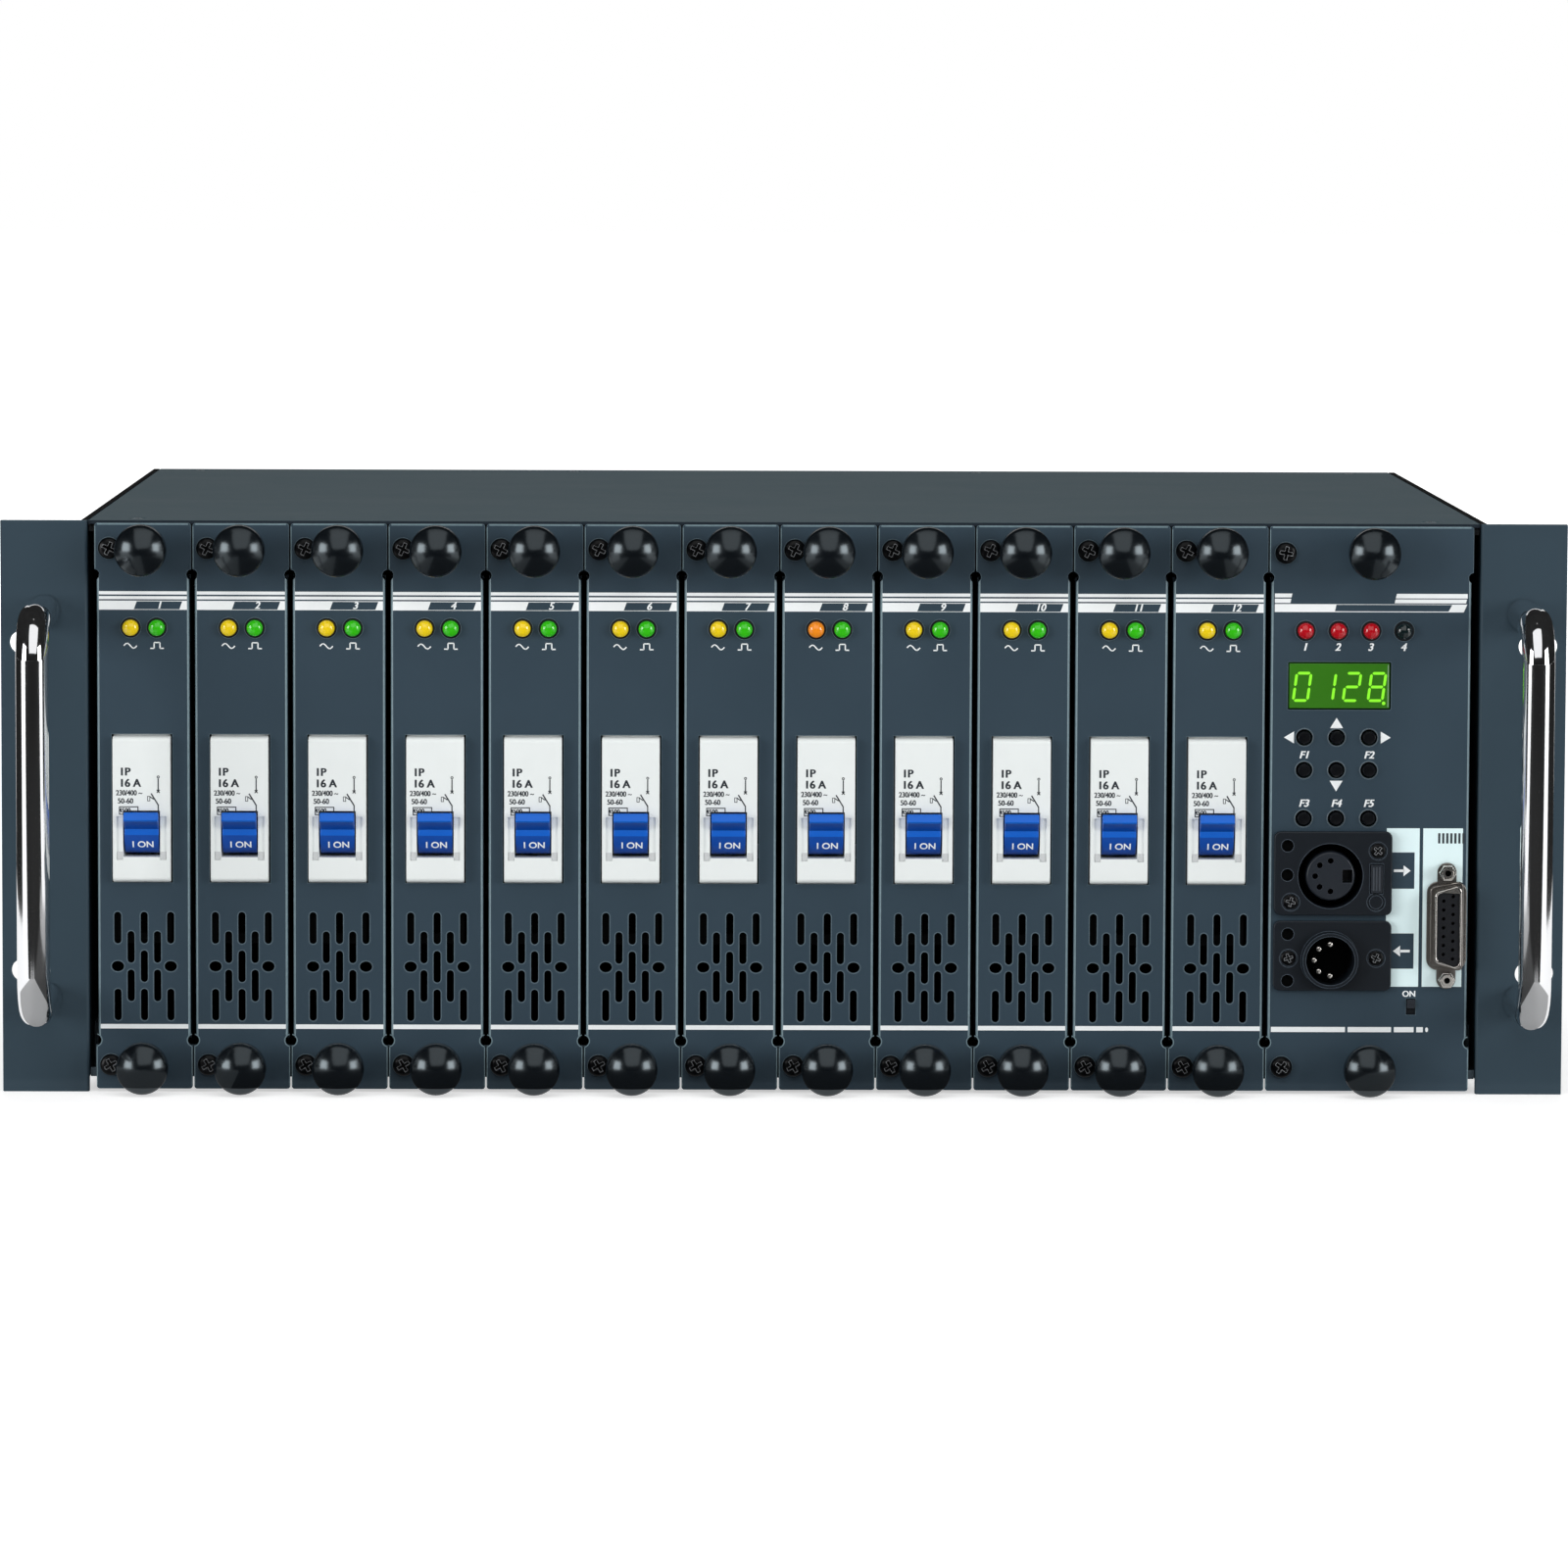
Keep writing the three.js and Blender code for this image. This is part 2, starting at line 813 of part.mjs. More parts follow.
// Staggered vent slots under the breaker: five columns, with an oval in the middle of the outer two.
function ventCuts(x) {
  const cuts = [];
  for (let column = -2; column <= 2; column++) {
    for (let row = -2; row <= 2; row++) {
      if ((column + row) % 2) continue;
      const u = x + column * vent.columnPitch;
      const v = vent.middle + row * vent.rowPitch;
      const isOval = Math.abs(column) === 2 && row === 0;
      if (isOval) cuts.push(oval(u, v, vent.ovalWidth, vent.ovalHeight, vent.ovalSides));
      else cuts.push(rectangle(u, v, vent.slotWidth, vent.slotLength));
    }
  }
  return frontal(cuts, -overrun, panel.sheet + 2 * overrun);
}

// Extruded fins that stand off the carrier plate, for the two thyristors.
function heatSink(left) {
  const step = (sink.height - sink.fin) / (sink.fins - 1);
  const points = [[left - weld, sink.bottom]];
  for (let i = 0; i < sink.fins; i++) {
    const z = sink.bottom + i * step;
    points.push([left + sink.reach, z], [left + sink.reach, z + sink.fin]);
    if (i < sink.fins - 1) points.push([left + sink.base, z + sink.fin], [left + sink.base, z + step]);
  }
  points.push([left - weld, sink.bottom + sink.height]);
  return frontal(shapeOf(points), sink.front, sink.depth);
}

// The ring-core choke, flat against the carrier plate.
function ringChoke(left) {
  const profile = [
    [choke.bore, 0],
    [choke.radius, 0],
    [choke.radius, choke.width],
    [choke.bore, choke.width],
    [choke.bore, 0],
  ];
  const points = profile.map(([radius, out]) => new THREE.Vector2(radius, out));
  const geometry = new THREE.LatheGeometry(points, choke.sides);
  geometry.rotateZ(-Math.PI / 2);
  geometry.translate(left - weld, choke.middleY, chokeZ);
  return solidFrom(geometry);
}

function dimmerTray(name, x) {
  const plate = x - pitch / 2 + panel.flangeInset + panel.sheet / 2;
  const left = plate + panel.sheet / 2;
  const halfWidth = breaker.width / 2 + clearance;
  const halfHeight = breaker.noseHeight / 2 + clearance;
  const window = block(
    x + breaker.x - halfWidth,
    x + breaker.x + halfWidth,
    -overrun,
    panel.sheet + overrun,
    breaker.middle - halfHeight,
    breaker.middle + halfHeight,
  );
  const railFront = breaker.depth - breaker.railDepth + clearance;
  const railHalf = breaker.railHeight / 2;
  const mountingRail = block(
    left - weld,
    x + breaker.x + breaker.width / 2,
    railFront,
    breaker.depth,
    breaker.middle - railHalf,
    breaker.middle + railHalf,
  );
  const solid = wasm.Manifold.union([
    foldedPanel(x, pitch).subtract(ventCuts(x)).subtract(window),
    ...pullKnobs(x),
    lampDome(x + lamp.amberX),
    lampDome(x + lamp.greenX),
    mountingRail,
    heatSink(left),
    ringChoke(left),
    rearPlug(plate),
  ]);
  return meshFrom(name, solid, paint);
}

// A single-pole circuit breaker: its nose stands through the panel's window and its back clips on
// the mounting rail.
function circuitBreaker(name, x) {
  const nose = breaker.noseHeight / 2;
  const body = breaker.bodyHeight / 2;
  const slot = breaker.railHeight / 2 + clearance;
  const front = -breaker.noseProud;
  const shoulder = seatFront;
  const chamfer = breaker.noseChamfer;
  const floor = breaker.depth - breaker.railDepth;
  const z = breaker.middle;
  const outline = shapeOf([
    [front, z - nose + chamfer],
    [front + chamfer, z - nose],
    [shoulder, z - nose],
    [shoulder, z - body],
    [breaker.depth, z - body],
    [breaker.depth, z - slot],
    [floor, z - slot],
    [floor, z + slot],
    [breaker.depth, z + slot],
    [breaker.depth, z + body],
    [shoulder, z + body],
    [shoulder, z + nose],
    [front + chamfer, z + nose],
    [front, z + nose - chamfer],
  ]);
  const left = x + breaker.x - breaker.width / 2;
  const pocketHalf = toggle.radius + toggle.play;
  const pocket = block(
    x + breaker.x - pocketWidth / 2,
    x + breaker.x + pocketWidth / 2,
    front - overrun,
    toggle.axisY + pocketHalf,
    toggleZ - pocketHalf,
    toggleZ + pocketHalf,
  );
  return meshFrom(name, sideways(outline, left, breaker.width).subtract(pocket), white);
}

// The breaker's toggle: a drum with a lever that tapers to a rounded tip, drawn switched on.
function breakerToggle(name, x) {
  const lean = THREE.MathUtils.degToRad(180 - toggle.restAngle);
  const half = toggle.root / 2;
  const open = THREE.MathUtils.radToDeg(Math.asin(half / toggle.radius));
  const rest = 180 - toggle.restAngle;
  const along = (out, across) => [
    toggle.axisY + out * Math.cos(lean) - across * Math.sin(lean),
    toggleZ + out * Math.sin(lean) + across * Math.cos(lean),
  ];
  const tip = toggle.tip / 2;
  const outline = shapeOf([
    ...arc(toggle.axisY, toggleZ, toggle.radius, rest + open, rest + 360 - open, toggle.drumSteps),
    along(toggle.reach - tip, -tip),
    along(toggle.reach, -tip / 2),
    along(toggle.reach, tip / 2),
    along(toggle.reach - tip, tip),
  ]);
  const left = x + breaker.x - toggle.width / 2;
  return meshFrom(name, sideways(outline, left, toggle.width), blue);
}

// Decoder

// The keys' places by their names, row by row, as X from the fittings' line and Z.
const buttonPlaces = Object.fromEntries(
  [
    [arrowRow, ["left", "up", "right"]],
    [menuRow, ["cancel", "down", "select"]],
    [modeRow, ["set", "function", "mode"]],
  ].flatMap(([z, names]) => names.map((name, i) => ["button_" + name, [keypad.left + i * keypad.pitch, z]])),
);
const decoderLamps = Array.from({ length: indicator.count }, (_, i) => indicator.left + i * indicator.pitch);

function decoderFront() {
  const x = fittingX;
  const plate = decoderX - bay.decoderWidth / 2 + panel.flangeInset + panel.sheet / 2;
  const back = panel.sheet + overrun;
  const keyHole = button.radius + button.play;
  const holes = [
    ...Object.values(buttonPlaces).map(([u, z]) => disc(x + u, z, keyHole, button.sides)),
    disc(x + outlet.x, outletZ, outlet.barrelRadius + clearance, outlet.sides),
    disc(x + inlet.x, inletZ, inlet.shellRadius + clearance, outlet.sides),
  ];
  const displayWindow = block(
    x + display.left - clearance,
    x + display.right + clearance,
    -overrun,
    back,
    displayBottom - clearance,
    displayTop + clearance,
  );
  const latchHalf = outlet.latchWidth / 2 + clearance;
  const latchWindow = block(
    x + outlet.x,
    x + outlet.latchX + latchHalf + outlet.plate,
    -overrun,
    back,
    latchZ - outlet.latchHeight / 2 - outlet.plate,
    latchZ + outlet.latchHeight / 2 + outlet.plate,
  );
  const portWindow = block(
    portX - port.rearWidth / 2 - clearance,
    portX + port.rearWidth / 2 + clearance,
    -overrun,
    back,
    port.z - port.rearHeight / 2 - clearance,
    port.z + port.rearHeight / 2 + clearance,
  );
  const wall = slider.housingWall;
  const housing = block(
    x + slider.x - slider.width / 2 - wall,
    x + slider.x + slider.width / 2 + wall,
    panel.sheet - weld,
    panel.sheet + slider.pocketDepth + wall,
    slider.bottom - wall,
    sliderTop + wall,
  );
  const pocket = block(
    x + slider.x - slider.width / 2,
    x + slider.x + slider.width / 2,
    -overrun,
    panel.sheet + slider.pocketDepth,
    slider.bottom,
    sliderTop,
  );
  const circuitBoard = block(
    plate + panel.sheet / 2 - weld,
    x + circuit.right,
    circuit.front,
    circuit.front + circuit.sheet,
    circuitBottom,
    circuitTop,
  );
  const solid = wasm.Manifold.union([
    foldedPanel(decoderX, bay.decoderWidth)
      .subtract(frontal(holes, -overrun, back + overrun))
      .subtract(displayWindow)
      .subtract(latchWindow)
      .subtract(portWindow),
    housing,
    ...pullKnobs(decoderX),
    ...decoderLamps.map((u) => lampDome(x + u)),
    circuitBoard,
    rearPlug(plate),
  ]).subtract(pocket);
  return meshFrom("decoder_front", solid, paint);
}

function displayModule() {
  const solid = block(
    fittingX + display.left,
    fittingX + display.right,
    display.recess,
    circuit.front - clearance,
    displayBottom,
    displayTop,
  );
  return meshFrom("display", solid, glass);
}

// A key cap that reaches through the panel to its switch on the circuit board.
function keyCap(name, [u, z]) {
  const rear = button.travel + clearance - circuit.front;
  const profile = [
    [0, rear],
    [button.radius, rear],
    [button.radius, button.proud - button.crown],
    [button.crownRadius, button.proud],
    [0, button.proud],
  ];
  return meshFrom(name, turned(profile, button.sides, fittingX + u, z), black);
}

// The chassis socket of the data output: a core in a round groove, behind a screwed plate.
function dataOutput() {
  const x = fittingX;
  const front = -clearance - outlet.plate;
  const plate = roundedBox(
    x + (outlet.left + outlet.right) / 2,
    (outletBottom + outletTop) / 2,
    outlet.right - outlet.left,
    outletTop - outletBottom,
    outlet.corner,
    2,
  );
  const groove = disc(x + outlet.x, outletZ, outlet.grooveRadius, outlet.sides);
  groove.holes.push(disc(x + outlet.x, outletZ, outlet.coreRadius, outlet.sides));
  const latchHalf = outlet.latchWidth / 2 + clearance;
  const latchRise = outlet.latchHeight / 2 + clearance;
  const latchLeft = x + outlet.latchX - latchHalf;
  const latchBack = front + outlet.latchPocket;
  const barrel = disc(x + outlet.x, outletZ, outlet.barrelRadius, outlet.sides);
  const cage = block(
    x + outlet.x,
    x + outlet.latchX + latchHalf + outlet.plate / 2,
    front + weld,
    latchBack + outlet.plate,
    latchZ - latchRise - outlet.plate / 2,
    latchZ + latchRise + outlet.plate / 2,
  );
  const latchPocket = block(
    latchLeft,
    x + outlet.latchX + latchHalf,
    front - overrun,
    latchBack,
    latchZ - latchRise,
    latchZ + latchRise,
  );
  const solid = frontal(plate, front, outlet.plate)
    .add(frontal(barrel, front + weld, outlet.barrelDepth))
    .add(cage)
    .subtract(frontal(groove, front - overrun, outlet.grooveDepth + overrun))
    .subtract(latchPocket);
  return meshFrom("data_output", solid, black);
}

function outputLatch() {
  const front = -clearance - outlet.plate;
  const half = outlet.latchWidth / 2;
  const solid = block(
    fittingX + outlet.latchX - half,
    fittingX + outlet.latchX + half,
    front - outlet.latchProud,
    front + outlet.latchPocket - outlet.latchTravel - clearance,
    latchZ - outlet.latchHeight / 2,
    latchZ + outlet.latchHeight / 2,
  );
  return meshFrom("output_latch", solid, black);
}

// The chassis plug of the data input: pins in a round shell, behind a screwed plate.
function dataInput() {
  const x = fittingX + inlet.x;
  const front = -clearance - inlet.plate;
  const shellFront = front - inlet.shellProud;
  const plate = roundedBox(
    fittingX + (outlet.left + outlet.right) / 2,
    (inlet.bottom + inletTop) / 2,
    outlet.right - outlet.left,
    inletTop - inlet.bottom,
    outlet.corner,
    2,
  );
  const shell = disc(x, inletZ, inlet.shellRadius, outlet.sides);
  const cavity = disc(x, inletZ, inlet.cavityRadius, outlet.sides);
  const floor = shellFront + inlet.cavityDepth;
  const pins = Array.from({ length: inlet.pins }, (_, i) => {
    const angle = THREE.MathUtils.degToRad(180 + (i - (inlet.pins - 1) / 2) * inlet.pinAngle);
    const u = x + inlet.pinCircle * Math.cos(angle);
    const v = inletZ + inlet.pinCircle * Math.sin(angle);
    return disc(u, v, inlet.pinRadius, inlet.pinSides);
  });
  const solid = frontal(plate, front, inlet.plate)
    .add(frontal(shell, shellFront, inlet.barrelDepth))
    .subtract(frontal(cavity, shellFront - overrun, inlet.cavityDepth + overrun))
    .add(frontal(pins, floor - inlet.pinLength, inlet.pinLength + weld));
  return meshFrom("data_input", solid, black);
}

// The narrow side of the D-shaped shell faces left.
function portShell(inset) {
  const half = port.shellWidth / 2 - inset;
  const tall = port.shellHeight / 2 - inset;
  const short = port.shellNarrowHeight / 2 - inset;
  const x = portX;
  return shapeOf([
    [x - half, port.z - short],
    [x - half * port.shellNarrowShare, port.z - short - inset],
    [x + half * port.shellNarrowShare, port.z - tall],
    [x + half, port.z - tall + port.shellWall],
    [x + half, port.z + tall - port.shellWall],
    [x + half * port.shellNarrowShare, port.z + tall],
    [x - half * port.shellNarrowShare, port.z + short + inset],
    [x - half, port.z + short],
  ]);
}

function controlPort() {
  const x = portX;
  const front = -clearance - port.flange;
  const shellFront = front - port.shellProud;
  const rise = port.screwPitch / 2;
  const flange = roundedBox(x, port.z, port.width, port.height, port.corner, 3);
  const lugWidth = 2 * port.lugRadius;
  const lugs = roundedBox(x, port.z, lugWidth, port.screwPitch + lugWidth, port.lugRadius, 3);
  const screws = [-rise, rise].map((dz) => disc(x, port.z + dz, port.screwRadius, port.screwSides));
  const solid = wasm.Manifold.union([
    frontal(flange, front, port.flange),
    frontal(lugs, front, port.flange),
    frontal(screws, front - port.screwProud, port.screwProud + weld),
    frontal(portShell(0), shellFront, port.shellProud + weld),
    block(
      x - port.rearWidth / 2,
      x + port.rearWidth / 2,
      front + weld,
      port.rearDepth,
      port.z - port.rearHeight / 2,
      port.z + port.rearHeight / 2,
    ),
  ]).subtract(frontal(portShell(port.shellWall), shellFront - overrun, port.insertRecess + overrun));
  return meshFrom("control_port", solid, steel);
}

function terminateSlider() {
  const half = slider.width / 2 - clearance;
  const solid = block(
    fittingX + slider.x - half,
    fittingX + slider.x + half,
    -slider.proud,
    panel.sheet + slider.pocketDepth - clearance,
    sliderTop - clearance - slider.nub,
    sliderTop - clearance,
  );
  return meshFrom("terminate_slider", solid, white);
}

// Assembly

const dimmerPack = new THREE.Group();
dimmerPack.name = "dimmer_pack";

// The drawing frame: the origin of the part is under the middle of its outline.
const drawing = new THREE.Group();
drawing.position.y = -outlineMiddle;
dimmerPack.add(drawing);

drawing.add(
  chassisTray(),
  sidePanel("side_left", -1),
  sidePanel("side_right", 1),
  upperRail(),
  topCover(),
  backplane(),
  bailHandle("handle_left", -1),
  bailHandle("handle_right", 1),
);

for (let i = 0; i < bay.count; i++) {
  const x = -bayWidth / 2 + (i + 1 / 2) * pitch;
  const number = String(i + 1).padStart(2, "0");
  const module = new THREE.Group();
  module.add(
    dimmerTray("dimmer_tray_" + number, x),
    circuitBreaker("breaker_" + number, x),
    breakerToggle("toggle_" + number, x),
  );
  drawing.add(module);
}

const decoder = new THREE.Group();
decoder.add(
  decoderFront(),
  displayModule(),
  dataOutput(),
  outputLatch(),
  dataInput(),
  controlPort(),
  terminateSlider(),
);
for (const [name, place] of Object.entries(buttonPlaces)) decoder.add(keyCap(name, place));
drawing.add(decoder);

export default dimmerPack;
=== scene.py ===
import math

import bmesh
import bpy
from mathutils import Matrix, Vector


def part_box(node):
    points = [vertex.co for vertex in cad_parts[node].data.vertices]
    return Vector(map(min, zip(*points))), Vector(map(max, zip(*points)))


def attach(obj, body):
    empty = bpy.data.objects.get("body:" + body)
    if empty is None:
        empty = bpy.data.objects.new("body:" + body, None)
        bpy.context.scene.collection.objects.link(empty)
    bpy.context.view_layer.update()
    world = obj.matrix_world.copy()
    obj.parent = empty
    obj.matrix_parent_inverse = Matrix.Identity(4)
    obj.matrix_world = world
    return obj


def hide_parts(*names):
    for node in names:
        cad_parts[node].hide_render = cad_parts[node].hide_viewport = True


# A rack-mount dimmer pack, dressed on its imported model. Sizes are millimetres in the drawing's
# frame: X to the right, Y back from the front of the ears, Z up from their lower ends.

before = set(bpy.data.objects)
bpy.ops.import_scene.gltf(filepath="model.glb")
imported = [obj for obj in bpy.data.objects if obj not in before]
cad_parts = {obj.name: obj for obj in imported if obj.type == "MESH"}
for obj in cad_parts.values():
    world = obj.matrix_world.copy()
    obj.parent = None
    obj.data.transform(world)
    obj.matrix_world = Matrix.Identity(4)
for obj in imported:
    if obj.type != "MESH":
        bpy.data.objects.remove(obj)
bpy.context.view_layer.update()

MM = 0.001
FRONT_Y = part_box("side_left")[0].y
TO_FRAME = Matrix.Translation((0, FRONT_Y, 0)) @ Matrix.Scale(MM, 4)

HEIGHT = 177.0
HALF_WIDTH = 241.3
DEPTH = 320.0
WALL = 214.6  # inside of the side walls
BAY_HALF = 212.6
PITCH = 30.15
MODULES = 12
DECODER_WIDTH = 63.4
DECODER_X = BAY_HALF - DECODER_WIDTH / 2
SHEET = 1.2
EDGE_INSET = 0.85
FLANGE_BOTTOM = 16.0
FLANGE_TOP = 160.0
PANEL_BOTTOM = 1.0
PANEL_TOP = 176.2
CARRIER_END = 255.0
PLUG_END = 269.4
KNOB_RISE = 8.6  # from the lower and from the upper edge
LAMP_Z = 144.0
TURN = 2 * math.pi
INK = 0.04  # how far a print stands proud


# Outlines and solids


def arc(u, v, radius, start, end, steps):
    """Points along an arc, its angles in degrees."""
    points = []
    for i in range(steps + 1):
        angle = math.radians(start + (end - start) * i / steps)
        points.append((u + radius * math.cos(angle), v + radius * math.sin(angle)))
    return points


def ring(u, v, radius, steps=40):
    return arc(u, v, radius, 0, 360 - 360 / steps, steps - 1)


def rounded(left, right, bottom, top, radius, steps=5):
    return (
        arc(right - radius, bottom + radius, radius, -90, 0, steps)
        + arc(right - radius, top - radius, radius, 0, 90, steps)
        + arc(left + radius, top - radius, radius, 90, 180, steps)
        + arc(left + radius, bottom + radius, radius, 180, 270, steps)
    )


def box_outline(left, right, bottom, top):
    return [(left, bottom), (right, bottom), (right, top), (left, top)]


def slanted(left, right, bottom, top, lean_left, lean_right):
    return [(left, bottom), (right, bottom), (right + lean_right, top), (left + lean_left, top)]


def mirrored(points, middle=0.0):
    """An outline from the points on its right."""
    return [(middle + u, v) for u, v in points] + [(middle - u, v) for u, v in reversed(points)]


def oval(u, v, width, height, steps=20):
    return [(u + width / 2 * a, v + height / 2 * b) for a, b in ring(0, 0, 1, steps)]


def tidy(mesh):
    """Welds a solid's corners and turns its faces outwards."""
    bm = bmesh.new()
    bm.from_mesh(mesh)
    bmesh.ops.remove_doubles(bm, verts=bm.verts, dist=1e-4)
    bmesh.ops.dissolve_degenerate(bm, edges=bm.edges, dist=1e-5)
    bmesh.ops.recalc_face_normals(bm, faces=bm.faces)
    bm.to_mesh(mesh)
    bm.free()
    return mesh


def from_curve(curve):
    """The mesh of a curve or of lettering."""
    holder = bpy.data.objects.new("outline", curve)
    mesh = bpy.data.meshes.new_from_object(holder)
    bpy.data.objects.remove(holder)
    bpy.data.curves.remove(curve)
    return mesh


def outlined(loops, depth, bevel=0.0, rounds=1):
    """A plate of closed outlines, where an outline inside another is a hole, from 0 to depth in w."""
    curve = bpy.data.curves.new("outline", "CURVE")
    curve.dimensions = "2D"
    curve.fill_mode = "BOTH"
    curve.extrude = depth / 2 - bevel
    curve.bevel_depth = bevel
    curve.bevel_resolution = rounds
    curve.offset = -bevel
    for loop in loops:
        spline = curve.splines.new("POLY")
        spline.points.add(len(loop) - 1)
        for point, (u, v) in zip(spline.points, loop):
            point.co = (u, v, 0, 1)
        spline.use_cyclic_u = True
    mesh = from_curve(curve)
    mesh.transform(Matrix.Translation((0, 0, depth / 2)))
    return tidy(mesh)


FACING = Matrix(((1, 0, 0, 0), (0, 0, -1, 0), (0, 1, 0, 0), (0, 0, 0, 1)))  # u, v, w to X, Z, -Y
SIDEWAYS = Matrix(((0, 0, 1, 0), (1, 0, 0, 0), (0, 1, 0, 0), (0, 0, 0, 1)))  # u, v, w to Y, Z, X
UPRIGHT = Matrix(((1, 0, 0, 0), (0, 0, 1, 0), (0, 1, 0, 0), (0, 0, 0, 1)))  # Y and Z change places


def plate(loops, front, back, bevel=0.0, rounds=1):
    """Outlines in X and Z, from the front to the back."""
    mesh = outlined(loops, back - front, bevel, rounds)
    mesh.transform(Matrix.Translation((0, back, 0)) @ FACING)
    return mesh


def sideways(loops, left, right, bevel=0.0, rounds=1):
    """Outlines in Y and Z, from left to right."""
    mesh = outlined(loops, right - left, bevel, rounds)
    mesh.transform(Matrix.Translation((left, 0, 0)) @ SIDEWAYS)
    return mesh


def upright(loops, bottom, top, bevel=0.0, rounds=1):
    """Outlines in X and Y, from the bottom to the top."""
    return shifted(outlined(loops, top - bottom, bevel, rounds), 0, 0, bottom)


def block(left, right, front, back, bottom, top, bevel=0.2):
    return plate([box_outline(left, right, bottom, top)], front, back, bevel)


def inked(*shapes):
    """Prints on a panel's front. A shape is an outline, or a list of outlines with holes."""
    return [plate(shape if isinstance(shape[0], list) else [shape], -INK, INK) for shape in shapes]


def shifted(mesh, x, y, z, degrees=0.0, axis="Z"):
    """A mesh turned about an axis through the origin, then moved."""
    mesh.transform(Matrix.Translation((x, y, z)) @ Matrix.Rotation(math.radians(degrees), 4, axis))
    return mesh


def from_rows(rows, closed_row, closed_rows, caps):
    """A skin over rows of points, each row as long as the others."""
    bm = bmesh.new()
    grid = [[bm.verts.new(p) for p in row] for row in rows]
    count = len(grid[0])
    for i in range(len(grid) if closed_rows else len(grid) - 1):
        near, far = grid[i], grid[(i + 1) % len(grid)]
        for j in range(count if closed_row else count - 1):
            k = (j + 1) % count
            bm.faces.new((near[j], near[k], far[k], far[j]))
    if caps:
        bm.faces.new(reversed(grid[0]))
        bm.faces.new(grid[-1])
    mesh = bpy.data.meshes.new("skin")
    bm.to_mesh(mesh)
    bm.free()
    return tidy(mesh)


def turned(profile, x=0.0, z=0.0, steps=40, closed=False):
    """A profile of radius and Y, turned about an axis that runs from the front to the back."""
    angles = [TURN * i / steps for i in range(steps)]
    rows = []
    for radius, y in profile:
        reach = max(radius, 1e-3)
        rows.append([(x + reach * math.cos(a), y, z + reach * math.sin(a)) for a in angles])
    return from_rows(rows, True, closed, not closed)


def pin(radius, front, back, x, z, steps):
    return turned([(0, back), (radius, back), (radius, front), (0, front)], x, z, steps)


def rod(path, radius, steps=16, closed=False):
    """A round rod along a path."""
    points = [Vector(p) for p in path]
    count = len(points)
    rows = []
    side = None
    for i, point in enumerate(points):
        before = points[i - 1] if i or closed else point
        after = points[(i + 1) % count] if i < count - 1 or closed else point
        along = (after - before).normalized()
        if side is None:
            side = along.orthogonal().normalized()
        side = (side - along * side.dot(along)).normalized()
        other = along.cross(side)
        angles = [TURN * k / steps for k in range(steps)]
        rows.append([point + radius * (math.cos(a) * side + math.sin(a) * other) for a in angles])
    return from_rows(rows, True, closed, not closed)


def lettering(words, size, x, z, front=-INK, shear=0.0, weight=0.0, align="CENTER", squeeze=1.0):
    """Generic lettering as a thin plate, its middle line at z."""
    font = bpy.data.curves.new("lettering", "FONT")
    font.body = words
    font.size = size
    font.shear = shear
    font.offset = weight
    font.align_x = align
    font.align_y = "CENTER"
    font.extrude = INK
    mesh = from_curve(font)
    mesh.transform(Matrix.Diagonal((squeeze, 1, 1, 1)))
    mesh.transform(Matrix.Translation((x, front + INK, z)) @ FACING)
    return tidy(mesh)


COPY_STEP = 0.008  # copies in one plane would shade each other


def bold(words, size, x, z, spread, front=-INK, **named):
    """Lettering in copies that stand beside each other, each a little deeper than the last."""
    return [lettering(words, size, x + spread * i, z, front + COPY_STEP * i, **named) for i in (-1, 0, 1)]


def sliced(mesh, levels):
    """A mesh whose faces end at the given heights, so that it can be bent there."""
    bm = bmesh.new()
    bm.from_mesh(mesh)
    for level in levels:
        parts = bm.verts[:] + bm.edges[:] + bm.faces[:]
        bmesh.ops.bisect_plane(bm, geom=parts, plane_co=(0, 0, level), plane_no=(0, 0, 1))
    bm.to_mesh(mesh)
    bm.free()
    return mesh


def joined(meshes):
    bm = bmesh.new()
    for mesh in meshes:
        bm.from_mesh(mesh)
        bpy.data.meshes.remove(mesh)
    whole = bpy.data.meshes.new("joined")
    bm.to_mesh(whole)
    bm.free()
    return whole


def stand(name, data):
    """An object in the scene that shows the given data."""
    thing = bpy.data.objects.new(name, data)
    bpy.context.scene.collection.objects.link(thing)
    return thing


def combined(mesh, others, operation):
    """A solid with others cut from it or joined to it."""
    base = stand("base", mesh)
    tool = stand("tool", joined(others))
    step = base.modifiers.new("step", "BOOLEAN")
    step.operation = operation
    step.object = tool
    step.solver = "EXACT"
    bpy.context.view_layer.update()
    made = bpy.data.meshes.new_from_object(base.evaluated_get(bpy.context.evaluated_depsgraph_get()))
    for holder in (base, tool):
        old = holder.data
        bpy.data.objects.remove(holder)
        bpy.data.meshes.remove(old)
    return tidy(made)


def cut(mesh, *others):
    return combined(mesh, others, "DIFFERENCE")


def fused(mesh, *others):
    return combined(mesh, others, "UNION")


# Materials


def linear(red, green, blue):
    shares = [c / 255 for c in (red, green, blue)]
    return tuple(c / 12.92 if c <= 0.04045 else ((c + 0.055) / 1.055) ** 2.4 for c in shares) + (1,)


def scaled(colour, share):
    return tuple(min(1, c * share) for c in colour[:3]) + (1,)


def node(tree, kind, values, **settings):
    """A shader node. Each input gets its value, or a link where the value is another's output."""
    made = tree.nodes.new("ShaderNode" + kind)
    for key, value in settings.items():
        setattr(made, key, value)
    fill(tree, made, values)
    return made


def fill(tree, target, values):
    for socket, value in values.items():
        if isinstance(value, bpy.types.NodeSocket):
            tree.links.new(value, target.inputs[socket])
        else:
            target.inputs[socket].default_value = value


